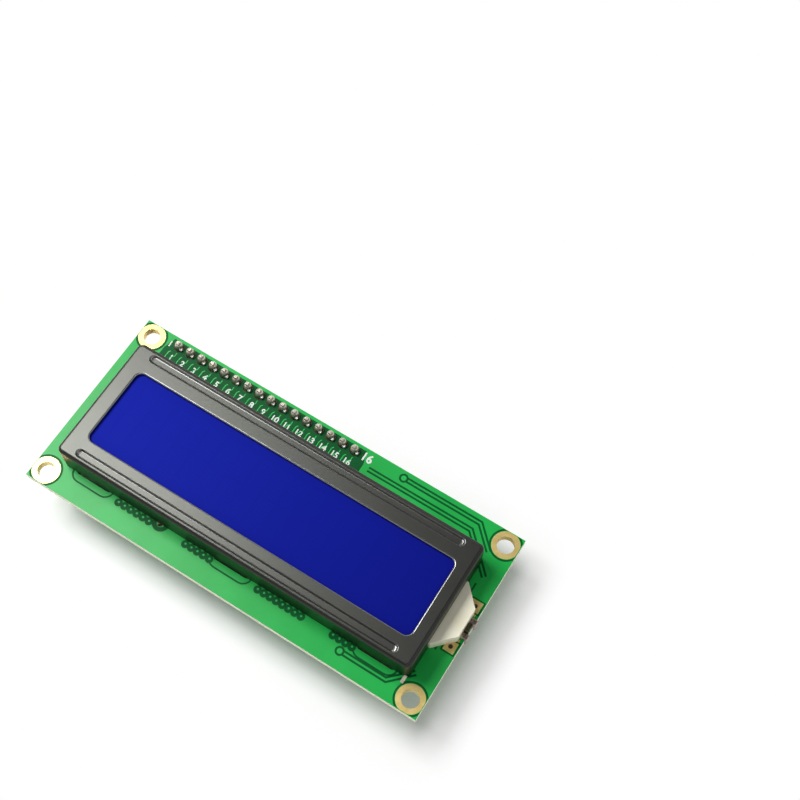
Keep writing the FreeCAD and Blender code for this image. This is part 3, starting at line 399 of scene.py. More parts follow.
def add_piece(name, mesh, finish, slot, body=BODY, stands_for=()):
    piece = show(mesh, name)
    if finish:
        mesh.materials.clear()
        mesh.materials.append(FINISHES[finish].material)
    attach(piece, body)
    if stands_for:
        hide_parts(*stands_for)


def dress(finish, *nodes):
    """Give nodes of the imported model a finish."""
    for node in nodes:
        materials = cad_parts[node].data.materials
        materials.clear()
        materials.append(FINISHES[finish].material)


def mesh_of(name, form, smooth_angle=None):
    """Close a working form into a mesh in metres with its faces outward."""
    form.normal_update()
    bmesh.ops.recalc_face_normals(form, faces=form.faces)
    form.transform(Matrix.Scale(MM, 4))
    mesh = bpy.data.meshes.new(name)
    form.to_mesh(mesh)
    form.free()
    if smooth_angle is not None:
        smooth_by_angle(mesh, smooth_angle)
    return mesh


def smooth_by_angle(mesh, angle):
    """Smooth faces that meet at less than the angle, in degrees."""
    mesh.polygons.foreach_set("use_smooth", [True] * len(mesh.polygons))
    mesh.set_sharp_from_angle(angle=math.radians(angle))


def smooth_fans(vert, limit):
    """The faces round a vertex, in groups that meet at less than the limit."""
    left = dict.fromkeys(vert.link_faces)
    while left:
        fan, front = [], [left.popitem()[0]]
        while front:
            face = front.pop()
            fan.append(face)
            for line in face.edges:
                if vert not in line.verts or len(line.link_faces) != 2 or line.calc_face_angle() > limit:
                    continue
                for other in line.link_faces:
                    if other in left:
                        del left[other]
                        front.append(other)
        yield fan


def led_by_large_faces(mesh, angle):
    """Smooth a mesh up to an angle, its corner normals led by the larger faces so that flats stay flat."""
    form = bmesh.new()
    form.from_mesh(mesh)
    form.normal_update()
    corner_normals = {}
    for vert in form.verts:
        for fan in smooth_fans(vert, math.radians(angle)):
            total = sum((face.normal * face.calc_area() ** 2 for face in fan), Vector())
            for face in fan:
                normal = total.normalized() if total.length else face.normal.copy()
                corner_normals[face.index, vert.index] = normal
    form.free()
    smooth_by_angle(mesh, angle)
    normals = [
        corner_normals[face.index, mesh.loops[corner].vertex_index]
        for face in mesh.polygons
        for corner in face.loop_indices
    ]
    mesh.normals_split_custom_set(normals)
    return mesh


def round_off(form, lines, width, steps):
    """Round the edges given, all of them to one width."""
    settings = {"offset": width, "segments": steps, "profile": 0.5, "affect": "EDGES", "clamp_overlap": True}
    bmesh.ops.bevel(form, geom=lines, **settings)


def lies_at(item, height):
    """Whether every corner of a face or edge, in metres, lies at a height in millimetres."""
    return all(abs(vert.co.z / MM - height) < 0.01 for vert in item.verts)


def hollowed(form, height, width, rise, end_length, end_rise):
    """Flat bottoms at a height become shallow dishes that rise towards their walls, and more so at their ends."""
    for bottom in [face for face in form.faces if lies_at(face, height)]:
        rim = list(bottom.verts)
        low_x, low_y = (min(vert.co[axis] for vert in rim) for axis in (0, 1))
        high_x, high_y = (max(vert.co[axis] for vert in rim) for axis in (0, 1))
        half = (high_y - low_y) / 2
        bmesh.ops.inset_individual(form, faces=[bottom], thickness=width * MM)

        def beyond(vert):
            """How far into the round end a point lies, from 0 to 1."""
            past = max(vert.co.x - (high_x - half), (low_x + half) - vert.co.x, 0) / half
            return min(past, 1.0)

        for vert in bottom.verts:
            vert.co.x -= math.copysign(end_length * MM, vert.co.x) * beyond(vert)
        for vert in rim:
            above = max((line.other_vert(vert) for line in vert.link_edges), key=lambda other: other.co.z)
            lift = (rise + (end_rise - rise) * beyond(vert)) * MM
            vert.co += (above.co - vert.co) * (lift / (above.co.z - vert.co.z))


SHARP = 0.6  # radians between the two faces of an edge that gets rounded


def is_sharp(line):
    return len(line.link_faces) == 2 and line.calc_face_angle() > SHARP


def weld(form):
    bmesh.ops.remove_doubles(form, verts=form.verts, dist=1e-6)


def softened(node, finish, slot, edge=0.0, angle=34, body=BODY, bands=(), dish=None):
    """A finer copy of a node with smooth curved faces and slightly broken edges.

    Each band names a height, and a width for rounding the sharp edges that lie there. A dish
    holds what hollowed() needs for the flat bottoms of pressed beads.
    """
    form = bmesh.new()
    form.from_mesh(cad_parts[node].data)
    weld(form)
    bmesh.ops.dissolve_limit(form, angle_limit=math.radians(0.5), verts=form.verts, edges=form.edges)
    if dish:
        hollowed(form, **dish)
        weld(form)
    for height, width in bands:
        round_off(form, [line for line in form.edges if lies_at(line, height) and is_sharp(line)], width * MM, 3)
    if edge:
        round_off(form, [line for line in form.edges if is_sharp(line)], edge * MM, 2)
    mesh = bpy.data.meshes.new(node + "_fine")
    form.to_mesh(mesh)
    form.free()
    add_piece(node + "_fine", led_by_large_faces(mesh, angle), finish, slot, body, (node,))


def block(size, middle, rounding, steps=2):
    """A box with rounded edges as a working form."""
    form = bmesh.new()
    bmesh.ops.create_cube(form, size=1.0, matrix=Matrix.LocRotScale(Vector(middle), None, Vector(size)))
    round_off(form, form.edges[:], rounding, steps)
    return form


def circle(x, y, radius, count=20):
    angles = [2 * math.pi * step / count for step in range(count)]
    return [(x + radius * math.cos(a), y + radius * math.sin(a)) for a in angles]


def loop_at(form, outline, height):
    """New points of a form along an outline at one height."""
    return [form.verts.new((x, y, height)) for x, y in outline]


def skin(form, loops):
    """Faces between neighbouring closed loops of as many points, a loop of one point being a pole."""
    count = max(len(loop) for loop in loops)
    for lower, upper in zip(loops, loops[1:]):
        for step in range(count):
            sides = ((lower, step), (lower, step + 1), (upper, step + 1), (upper, step))
            corners = [loop[index % len(loop)] for loop, index in sides]
            form.faces.new(list(dict.fromkeys(corners)))


def turned(profile):
    """A closed round form from (radius, height) points that start and end on the axis."""
    form = bmesh.new()
    outlines = [(circle(0, 0, radius) if radius else [(0, 0)], height) for radius, height in profile]
    skin(form, [loop_at(form, outline, height) for outline, height in outlines])
    return form


def merged(forms):
    """Several working forms as one."""
    whole = bmesh.new()
    for form in forms:
        mesh = bpy.data.meshes.new("part")
        form.to_mesh(mesh)
        form.free()
        whole.from_mesh(mesh)
        bpy.data.meshes.remove(mesh)
    return whole


# ---------------------------------------------------------------- flat artwork on a board's face


def shifted(points, distance):
    """A run of points moved sideways, to the left of its direction, with mitred bends."""
    runs = [(Vector(end) - Vector(start)).normalized() for start, end in zip(points, points[1:])]
    moved = []
    for index, point in enumerate(points):
        before, after = runs[max(index - 1, 0)], runs[min(index, len(runs) - 1)]
        along = (before + after).normalized()
        side = Vector((-along.y, along.x))
        lean = max(0.4, side.dot(Vector((-after.y, after.x))))
        moved.append(tuple(Vector(point) + side * distance / lean))
    return moved


class Artwork:
    """Thin flat shapes on one face of a board: copper, gaps, plating or printed lines."""

    SUNK = 0.004
    STEP, STEPS = 0.0003, 13

    def __init__(self, face, outward, thickness):
        self.form = bmesh.new()
        self.base = face - outward * self.SUNK
        self.top = face + outward * thickness
        self.outward = outward
        self.shapes = 0

    def next_top(self):
        """The next shape's height, a hair off its neighbours' so that no two crossing shapes coincide."""
        self.shapes += 1
        return self.top - self.outward * self.STEP * (self.shapes % self.STEPS)

    def plate(self, outline):
        top = self.next_top()
        loops = [loop_at(self.form, outline, height) for height in (self.base, top)]
        for loop in loops:
            self.form.faces.new(loop)
        skin(self.form, loops)

    def ribbon(self, outer, inner):
        """A closed band between two outlines of as many points."""
        top = self.next_top()
        outer_low, outer_high, inner_low, inner_high = (
            loop_at(self.form, outline, height) for outline in (outer, inner) for height in (self.base, top)
        )
        skin(self.form, (outer_low, outer_high, inner_high, inner_low, outer_low))

    def rectangle(self, left, right, low, high):
        self.plate(((left, low), (right, low), (right, high), (left, high)))

    def pad(self, x, y, half_x, half_y):
        self.rectangle(x - half_x, x + half_x, y - half_y, y + half_y)

    def frame(self, left, right, low, high, width):
        def corners(grow):
            left_x, right_x, low_y, high_y = left - grow, right + grow, low - grow, high + grow
            return ((left_x, low_y), (right_x, low_y), (right_x, high_y), (left_x, high_y))

        self.ribbon(corners(width / 2), corners(-width / 2))

    def frame_round(self, x, y, half, width):
        self.frame(x - half, x + half, y - half, y + half, width)

    def disc(self, x, y, radius, count=20):
        self.plate(circle(x, y, radius, count))

    def ring(self, x, y, inner, outer, count=20):
        self.ribbon(circle(x, y, outer, count), circle(x, y, inner, count))

    def square_ring(self, x, y, hole, half):
        """A square pad with a round hole."""
        count = 16
        outer = []
        for across, along in circle(0, 0, 1, count):
            stretch = half / max(abs(across), abs(along))
            outer.append((x + across * stretch, y + along * stretch))
        self.ribbon(outer, circle(x, y, hole, count))

    def clipped_ring(self, x, y, inner, outer, reach_x, reach_y):
        """A round pad cut straight where it would pass the board's edges."""

        def clipped(radius, margin):
            limit_x, limit_y = reach_x - margin, reach_y - margin
            outline = circle(x, y, radius, 40)
            return [(max(-limit_x, min(limit_x, px)), max(-limit_y, min(limit_y, py))) for px, py in outline]

        self.ribbon(clipped(outer, 0), clipped(inner, 0.02))

    def line(self, points, width):
        """A line of even width through points, with mitred bends."""
        left, right = shifted(points, width / 2), shifted(points, -width / 2)
        for index in range(len(points) - 1):
            self.plate((left[index], left[index + 1], right[index + 1], right[index]))

    def lines(self, runs, width):
        for points in runs:
            self.line(points, width)

    def bundle(self, points, width, count, pitch):
        """Parallel lines side by side, the first along the points."""
        self.lines((shifted(points, number * pitch) for number in range(count)), width)

    def plus_sign(self, x, y, reach, width):
        self.pad(x, y, reach, width / 2)
        self.pad(x, y, width / 2, reach)

    def bracket(self, left, right, low, high, width, gap, upright=False):
        """A frame open in the middle of its two long sides."""
        if upright:
            middle = (low + high) / 2
            for side, stop in ((low, middle - gap / 2), (high, middle + gap / 2)):
                self.line(((left, stop), (left, side), (right, side), (right, stop)), width)
        else:
            middle = (left + right) / 2
            for side, stop in ((left, middle - gap / 2), (right, middle + gap / 2)):
                self.line(((stop, low), (side, low), (side, high), (stop, high)), width)

    def finish(self, name, finish, slot):
        add_piece(name, mesh_of(name, self.form), finish, slot)


def printed_numbers(name, words, face, outward):
    """Plain numbers printed on a face: each word has a place and a height."""
    digit_share, stroke_share, thickness, lift = 1.38, 0.035, 0.012, 0.01
    forms = []
    for text, x, y, height in words:
        curve = bpy.data.curves.new("number", "FONT")
        curve.body = text
        curve.size = height * digit_share
        curve.align_x = curve.align_y = "CENTER"
        curve.extrude = thickness
        curve.offset = height * stroke_share
        curve.resolution_u = 3
        carrier = show(curve, "number")
        bpy.context.view_layer.update()
        mesh = bpy.data.meshes.new_from_object(carrier)
        form = bmesh.new()
        form.from_mesh(mesh)
        bmesh.ops.remove_doubles(form, verts=form.verts, dist=1e-4)
        flip = Matrix.Rotation(0 if outward > 0 else math.pi, 4, "Y")
        form.transform(Matrix.Translation((x, y, face + outward * lift)) @ flip)
        bpy.data.objects.remove(carrier)
        bpy.data.meshes.remove(mesh)
        forms.append(form)
    add_piece(name, mesh_of(name, merged(forms)), "white_ink", "white_plastic")


# ---------------------------------------------------------------- what repeats


def build_spread_tree(name, count):
    """Node tree that copies each of its parts to every point, turned and sized, and finishes it."""
    tree = bpy.data.node_groups.new(name, "GeometryNodeTree")
    kinds = {"Points": "Geometry", "Size spread": "Float", "Turn spread": "Float", "Seed": "Int"}
    for number in range(count):
        kinds |= {f"Part {number}": "Object", f"Finish {number}": "Material"}
    sockets = {
        label: tree.interface.new_socket(label, in_out="INPUT", socket_type="NodeSocket" + kind)
        for label, kind in kinds.items()
    }
    tree.interface.new_socket("Pieces", in_out="OUTPUT", socket_type="NodeSocketGeometry")
    nodes = Nodes(tree)
    entry = {label: nodes.node("NodeGroupInput", output=label) for label in kinds}

    def random_about(middle, spread):
        limits = {2: middle - spread, 3: middle + spread, "Seed": entry["Seed"]}
        return nodes.node("FunctionNodeRandomValue", {"data_type": "FLOAT"}, limits, output=1)

    size = random_about(1.0, entry["Size spread"])
    twist = nodes.node("CombineXYZ", inputs={"Z": random_about(0.0, entry["Turn spread"])})
    settings = {"data_type": "FLOAT_VECTOR"}
    turn = nodes.node("GeometryNodeInputNamedAttribute", settings, {"Name": "turn"}, output="Attribute")
    whole_turn = nodes.node("VectorMath", inputs={0: turn, 1: twist})
    rotation = nodes.node("FunctionNodeEulerToRotation", inputs={0: whole_turn})
    gather = tree.nodes.new("GeometryNodeJoinGeometry")
    for number in range(count):
        part = nodes.node("GeometryNodeObjectInfo", inputs={"Object": entry[f"Part {number}"]}, output="Geometry")
        inputs = {"Points": entry["Points"], "Instance": part, "Rotation": rotation, "Scale": size}
        copies = nodes.node("GeometryNodeInstanceOnPoints", inputs=inputs)
        solid = nodes.node("GeometryNodeRealizeInstances", inputs={0: copies})
        inputs = {"Geometry": solid, "Material": entry[f"Finish {number}"]}
        nodes.feed(gather.inputs[0], nodes.node("GeometryNodeSetMaterial", inputs=inputs))
    leave = tree.nodes.new("NodeGroupOutput")
    tree.links.new(gather.outputs[0], leave.inputs[0])
    return tree, {label: socket.identifier for label, socket in sockets.items()}


def spread(name, parts, places, slot, size_spread, turn_spread, seed, stands_for=()):
    """Copies of one small form at many places. A place is x, y, z, flip and turn in degrees."""
    points = bpy.data.meshes.new(name + "_points")
    points.from_pydata([Vector(place[:3]) * MM for place in places], [], [])
    turns = [angle for place in places for angle in (0.0, math.radians(place[3]), math.radians(place[4]))]
    points.attributes.new("turn", "FLOAT_VECTOR", "POINT").data.foreach_set("vector", turns)
    carrier = show(points, name + "_points")
    tree, names = build_spread_tree(name, len(parts))
    modifier = carrier.modifiers.new("spread", "NODES")
    modifier.node_group = tree
    modifier[names["Size spread"]] = size_spread
    modifier[names["Turn spread"]] = math.radians(turn_spread)
    modifier[names["Seed"]] = seed
    leftovers = [carrier]
    for number, (mesh, finish) in enumerate(parts):
        source = show(mesh, f"{name}_part_{number}")
        modifier[names[f"Part {number}"]] = source
        modifier[names[f"Finish {number}"]] = FINISHES[finish].material
        leftovers.append(source)
    bpy.context.view_layer.update()
    shown = carrier.evaluated_get(bpy.context.evaluated_depsgraph_get())
    mesh = bpy.data.meshes.new_from_object(shown)
    mesh.name = name
    carrier.modifiers.remove(modifier)
    for leftover in leftovers:
        bpy.data.objects.remove(leftover)
    bpy.data.node_groups.remove(tree)
    add_piece(name, mesh, None, slot, stands_for=stands_for)


def row_places(node, size, z, flip=0):
    """Places of the pin row's members along X, from the box of the node that holds them."""
    low, high = node_box(node)
    middle = (low + high) / 2
    shares = [index / (PINS - 1) for index in range(PINS)]
    return [(low.x + size / 2 + (high.x - low.x - size) * share, middle.y, z, flip, 0) for share in shares]


# ---------------------------------------------------------------- cover, display and light guide


BEAD_DEPTH = 0.45


def dress_display():
    top = node_box("bezel")[1].z
    dish = {"height": top - BEAD_DEPTH, "width": 0.14, "rise": 0.05, "end_length": 0.5, "end_rise": 0.16}
    softened("bezel", "black_steel", "black_steel", bands=((top, 0.08),), dish=dish)
    dress("blue_display", "front_polarizer")
    dress("display_glass", "front_glass", "rear_glass")
    dress("blue_film", "rear_polarizer")
    dress("white_film", "diffuser_sheet", "reflector_sheet")
    dress("contact_rubber", "zebra_strip_upper", "zebra_strip_lower")
    softened("light_guide", "milky_plastic", "white_plastic", edge=0.12)
    softened("backlight_lamp", "olive_lamp", "dark_resin", edge=0.08)


def lamp_solder():
    """Two lumps of solder over the lamp's feet, wrapped round the board's edge."""
    rounding, slump, wave_depth, wave_width = 0.3, 0.16, 0.05, 0.04
    low, high = node_box("backlight_terminals")
    lamp_low, lamp_high = node_box("backlight_lamp")
    forms = []
    for side, inner, outer in ((-1, lamp_low.y, low.y), (1, lamp_high.y, high.y)):
        size = (high.x - low.x, abs(outer - inner), high.z - low.z)
        middle = ((low.x + high.x) / 2, (inner + outer) / 2, (low.z + high.z) / 2)
        form = block(size, middle, rounding, 3)
        bmesh.ops.subdivide_edges(form, edges=form.edges[:], cuts=1, use_grid_fill=True)
        for vert in form.verts:
            wave = abs(math.sin(vert.co.x * 7 + side) * math.cos(vert.co.z * 5 + 2 * side))
            pull = 1 - slump * max(0.0, vert.co.z / high.z) ** 2 - wave_depth * wave
            vert.co.y = middle[1] + (vert.co.y - middle[1]) * pull
            vert.co.x = middle[0] + (vert.co.x - middle[0]) * (1 - wave_width * wave)
        forms.append(form)
    mesh = mesh_of("lamp_solder", merged(forms), 60)
    add_piece("lamp_solder", mesh, "dull_solder", "solder", stands_for=("backlight_terminals",))


# ---------------------------------------------------------------- main board


HOLE_PADS = [(x, y) for x in (-37.5, 37.5) for y in (-15.5, 15.5)]
HOLE_RADIUS = 1.6
HOLE_GAP = (2.6, 2.95)
TAB_COLUMNS = (29.0, -0.1, -29.2)
SLOTS = [(x, y) for x in reversed(TAB_COLUMNS) for y in (-12.65, 11.25)]
END_PADS = ((38.55, 3.5), (38.55, -4.6))
END_PAD_HOLE, END_PAD_HALF = 0.4, 1.0
LAMP_PADS = ((36.1, 0.7), (36.1, -1.9))
DRIVER_PAD_ROWS = (3.5, 2.25, 0.95, -0.35)
LOCATING_HOLE = (-14.75, -12.7)
TEST_PADS = ((16.2, 16.6), (23.4, -15.0))
FRONT_VIAS = [
    (left + pitch * step, y)
    for left, pitch, y, count in (
        (-23.2, 1.3, -13.6, 6), (-9.0, 1.25, -13.6, 5), (6.0, 1.25, -13.6, 8), (21.0, 1.25, -13.4, 4),
    )
    for step in range(count)
]
BACK_VIA_ROW = (
    23.6, 22.4, 21.1, 13.3, 12.0, 10.8, 9.5, 8.3, 7.0, 5.7,
    -5.7, -7.0, -8.3, -9.5, -17.2, -18.4, -19.7, -21.0, -22.3, -23.6,
)
BACK_VIAS = [(x, -12.6) for x in BACK_VIA_ROW] + [
    (22.0, 7.2), (17.9, 6.8), (16.8, 6.0), (17.9, 5.4), (21.7, 4.4), (22.7, 3.4), (22.0, -2.2), (22.9, -3.0),
    (23.4, -3.8), (22.1, -4.3), (22.9, -5.0), (23.5, -6.4), (21.9, -7.4), (15.3, 16.2),
    (-5.3, -4.0), (-4.4, -4.8), (-5.4, -5.6), (-18.4, -5.6), (-19.2, -6.4), (-18.3, -7.0), (-19.1, -7.7),
    (-10.6, -8.4), (-11.4, -8.0), (-12.2, -8.3), (-13.4, -8.3), (-9.4, -8.8), (-36.2, 1.9), (-35.3, 8.9),
]
FRONT_TRACKS = (
    ((16.9, 16.6), (31.8, 16.6), (35.6, 12.9)),
    ((10.0, 14.7), (31.0, 14.7), (34.2, 11.6), (37.2, 8.6)),
    ((24.1, -15.0), (32.4, -15.0), (36.0, -11.4)),
)
FRONT_END_GAPS = (
    ((-34.9, 14.9), (-36.5, 13.3), (-36.5, -11.7)),
    ((36.6, 7.0), (36.6, -6.4)),
)
BACK_AREAS = (
    ((20.2, -11.3), (19.0, -10.0), (12.3, -10.0), (14.0, -12.4), (14.0, -13.5), (19.9, -13.5)),
    ((-35.0, 12.6), (-39.6, 12.6), (-39.6, -12.6), (-36.6, -12.6), (-36.6, -8.6), (-35.0, -7.0)),
    ((13.2, 8.2), (24.8, 8.2), (24.8, 10.6), (22.6, 12.2), (13.2, 12.2)),
    ((-24.6, -11.8), (-19.4, -11.8), (-19.4, -8.6), (-24.6, -8.6)),
)
BACK_GAPS = (
    ((8.6, 14.2), (34.8, 14.2), (37.9, 11.1), (37.9, 5.0)),
    ((16.6, 13.4), (34.4, 13.4), (37.0, 10.8), (37.0, 5.8), (36.2, 4.8)),
    ((8.6, 15.0), (12.4, 15.0), (14.4, 17.0)),
    ((8.6, 14.6), (12.9, 14.6), (13.6, 15.1)),
    ((33.9, 7.2), (33.9, 1.6), (33.4, 1.1)),
    ((24.2, -8.2), (24.2, -13.4), (22.6, -15.2), (-33.6, -15.2)),
    ((25.0, -9.0), (25.0, -13.8), (22.9, -16.1), (-32.6, -16.1)),
    ((35.2, -17.1), (-35.0, -17.1)),
    ((22.6, -13.8), (-31.0, -13.8), (-32.6, -12.4)),
    ((34.4, -8.4), (24.2, -8.4), (23.6, -7.8)),
    ((20.4, 0.6), (20.4, 7.4), (20.9, 8.0), (16.9, 8.0), (15.9, 7.1)),
    ((24.6, 2.0), (24.6, 6.6), (22.9, 7.8), (21.3, 7.8)),
    ((-34.9, 15.6), (-34.9, -6.8), (-36.4, -8.4), (-36.4, -12.6), (-33.6, -15.2)),
    ((-35.3, 8.4), (-36.7, 7.0), (-36.7, 1.6)),
    ((-34.9, 6.8), (-35.6, 6.0), (-35.6, 1.6)),
    ((-28.0, -8.6), (-33.9, -8.6), (-34.6, -9.6), (-34.6, -12.0), (-32.6, -14.4)),
)
# The first line of each bundle, how many lines it has, and the step to the next.
BACK_BUNDLES = (
    (((19.8, -7.2), (8.6, -7.2), (6.6, -8.4)), 6, -0.46),
    (((23.3, -9.4), (21.4, -7.9), (19.8, -7.2)), 4, -0.4),
    (((21.2, 5.4), (19.6, 3.6), (19.6, 1.2)), 5, -0.42),
    (((23.2, 2.2), (23.2, -1.4), (21.4, -4.0), (20.4, -6.0)), 5, 0.42),
    (((2.4, -2.2), (6.2, -2.2), (9.8, -5.4), (11.4, -6.4)), 6, 0.44),
    (((-4.9, -3.2), (-0.6, -3.2), (2.2, -2.2)), 6, 0.44),
    (((-15.8, -9.0), (-17.2, -7.4), (-19.6, -7.4)), 5, 0.42),
)
# Where a track leaves the row of vias, where it ends, and the height of its knee.
BACK_FAN = (
    (-17.2, -16.0, -10.4), (-18.4, -16.6, -9.9), (-19.7, -17.2, -9.4), (-21.0, -19.4, -9.2), (-22.3, -20.6, -8.9),
    (-23.6, -21.8, -8.7), (-5.7, -6.4, -10.0), (-7.0, -7.2, -9.6), (-8.3, -8.2, -9.4), (-9.5, -8.9, -9.2),
    (5.7, 6.9, -10.4), (7.0, 8.0, -9.9), (8.3, 9.2, -9.5), (9.5, 10.4, -9.3), (10.8, 11.6, -9.0),
    (12.0, 12.6, -8.9), (13.3, 13.8, -8.8), (21.1, 20.6, -9.6), (22.4, 21.4, -9.0), (23.6, 22.3, -8.6),
)
WIDE_BACK_TRACKS = (
    ((23.0, -14.5), (-32.9, -14.5)),
    ((22.4, -15.65), (-32.9, -15.65), (-35.9, -12.8), (-35.9, -8.9)),
)
FINE_TRACK, WIDE_TRACK = 0.16, 0.3


def ring_holes(art, inner, outer, margin):
    """Rings round the mounting holes that stay a margin inside the board's edges."""
    high = node_box("main_board")[1]
    for x, y in HOLE_PADS:
        art.clipped_ring(x, y, inner, outer, high.x - margin, high.y - margin)


def half_moon(x, y, side):
    """One half of a round solder pad that is cut in two."""
    angles = [math.pi / 2 * side * (step / 5 - 1) for step in range(11)]
    return [(x + side * 0.12 + side * 0.82 * abs(math.cos(a)), y + 0.9 * math.sin(a)) for a in angles]


def shared_pads(face, outward):
    """The gold pads that the main board has on both faces, to which each face adds its own."""
    art = Artwork(face, outward, thickness=0.035)
    ring_holes(art, HOLE_RADIUS, 2.52, margin=0.12)
    for x, y in END_PADS:
        art.square_ring(x, y, END_PAD_HOLE, END_PAD_HALF)
    return art


def plated_parts():
    """Gold pads of the main board on both faces, and the plated walls of its mounting holes."""
    front = shared_pads(BOARD_FRONT, 1)
    for y in (2.0, -3.1):
        front.rectangle(38.2, 39.4, y - 0.22, y + 0.22)
    front.finish("pads_front", "gold_plate", "gold_pin")

    back = shared_pads(BOARD_BACK, -1)
    for x, y in LAMP_PADS:
        back.ring(x, y, 0.4, 0.92)
    for x in TAB_COLUMNS:
        for low_y, high_y in ((8.0, 10.75), (-12.15, -9.0), (-13.5, -13.15), (11.75, 12.0)):
            back.rectangle(x - 3.6, x + 3.6, low_y, high_y)
    for y in DRIVER_PAD_ROWS:
        for left, right in ((31.2, 33.2), (25.5, 27.5)):
            back.rectangle(left, right, y - 0.36, y + 0.36)
    for y in (-2.9, -6.35):
        for left, right in ((30.7, 32.3), (27.1, 28.8)):
            back.rectangle(left, right, y - 1.05, y + 1.05)
    for left, right in ((-22.1, -20.1), (-24.5, -22.7)):
        back.rectangle(left, right, -7.2, -5.4)
    for x in (29.5, 27.1):
        for side in (-1, 1):
            back.plate(half_moon(x, 5.5, side))
    back.finish("pads_back", "darker_gold_plate", "gold_pin")

    proud = 0.03
    walls = Artwork(BOARD_BACK, -1, thickness=proud)
    walls.base = BOARD_FRONT + proud
    for x, y in HOLE_PADS:
        walls.ring(x, y, HOLE_RADIUS - 0.03, HOLE_RADIUS + 0.02, 32)
    walls.finish("hole_plating", "gold_plate", "gold_pin")


def corner_clip():
    """Small folded strip of tin at the cover's lower right corner, soldered to the board."""
    width, length, thickness, lift, lean = 0.6, 1.2, 0.26, 1.1, 0.12
    low, high = node_box("bezel")
    form = block((width, length, thickness), (high.x - width, low.y - 0.1, BOARD_FRONT + 0.15), 0.08)
    for vert in form.verts:
        rise = max(0.0, (vert.co.y - low.y + 0.3) / 0.8)
        vert.co.z += lift * rise * rise
        vert.co.x += lean * (vert.co.y - low.y)
    add_piece("corner_clip", mesh_of("corner_clip", form, 40), "pin_end", "tinned_pin")


def oval(x, y, half_length, half_width):
    """Outline of a long round-ended shape."""
    outline = []
    for end in (1, -1):
        for step in range(9):
            angle = math.pi * (step / 8 - 0.5) + (0 if end > 0 else math.pi)
            reach = half_length - half_width
            outline.append((x + end * reach + half_width * math.cos(angle), y + half_width * math.sin(angle)))
    return outline


def front_lines():
    """Display side: gaps etched round the copper, seen dark through the mask, dark discs of painted shade in the
    bores, and small bright pads.
    """
    bezel_low, bezel_high = node_box("bezel")
    gaps = Artwork(BOARD_FRONT, 1, thickness=0.012)
    gaps.rectangle(-34.4, 8.8, bezel_high.y - 0.6, 15.0)
    gaps.plate(((-34.4, 15.0), (8.8, 15.0), (8.0, 17.4), (-33.6, 17.4)))
    for x, y in SLOTS:
        gaps.ribbon(oval(x, y, 4.4, 1.85), oval(x, y, 4.1, 1.55))
    for x, y in FRONT_VIAS:
        gaps.disc(x, y, 0.74, 14)
    gaps.ring(*LOCATING_HOLE, 0.8, 1.6, 24)
    track, gap = 0.34, 0.36
    for points in FRONT_TRACKS:
        gaps.lines((shifted(points, side * (track + gap) / 2) for side in (-1, 1)), gap)
    gaps.lines(FRONT_END_GAPS, 0.3)
    for x, y in TEST_PADS:
        gaps.ring(x, y, 0.5, 0.86)
    ring_holes(gaps, *HOLE_GAP, margin=0.1)
    for x, y in END_PADS:
        gaps.frame_round(x, y, END_PAD_HALF + 0.2, 0.24)
    gaps.finish("front_gaps", "green_gap", "green_board")

    # Dark discs over the pad bores: painted shade in the holes.
    bore_shade = Artwork(BOARD_FRONT, 1, thickness=0.006)
    for x, y in END_PADS:
        bore_shade.disc(x, y, END_PAD_HOLE + 0.02, 16)
    bore_shade.finish("pad_bores", "painted_bore_shade", "gold_pin")
    # A dark disc halfway down the locating hole: painted shade in the bore.
    half_way = (BOARD_FRONT + BOARD_BACK) / 2
    depth = Artwork(half_way, 1, thickness=0.006)
    depth.disc(-14.8, bezel_low.y + 0.1, 0.6)  # the part of the bore that isn't under the cover
    depth.finish("locating_hole_depth", "painted_bore_shade", "gold_pin")

    bright = Artwork(BOARD_FRONT, 1, thickness=0.024)
    for x, y in FRONT_VIAS:
        bright.disc(x, y + 0.1, 0.2, 10)
    for x, y in TEST_PADS:
        bright.ring(x, y, 0.16, 0.4, 16)
    for x, *_ in row_places("header_pins", PIN_WIDTH, BOARD_FRONT):
        bright.line(((x - 0.9, 15.0), (x - 1.15, 14.6), (x - 1.15, 11.6)), FINE_TRACK)
        bright.line(((x + 0.35, 15.15), (x + 0.35, 14.5), (x - 0.2, 13.9), (x - 0.2, 11.6)), FINE_TRACK)
    bright.finish("front_vias", "green_copper", "green_board")


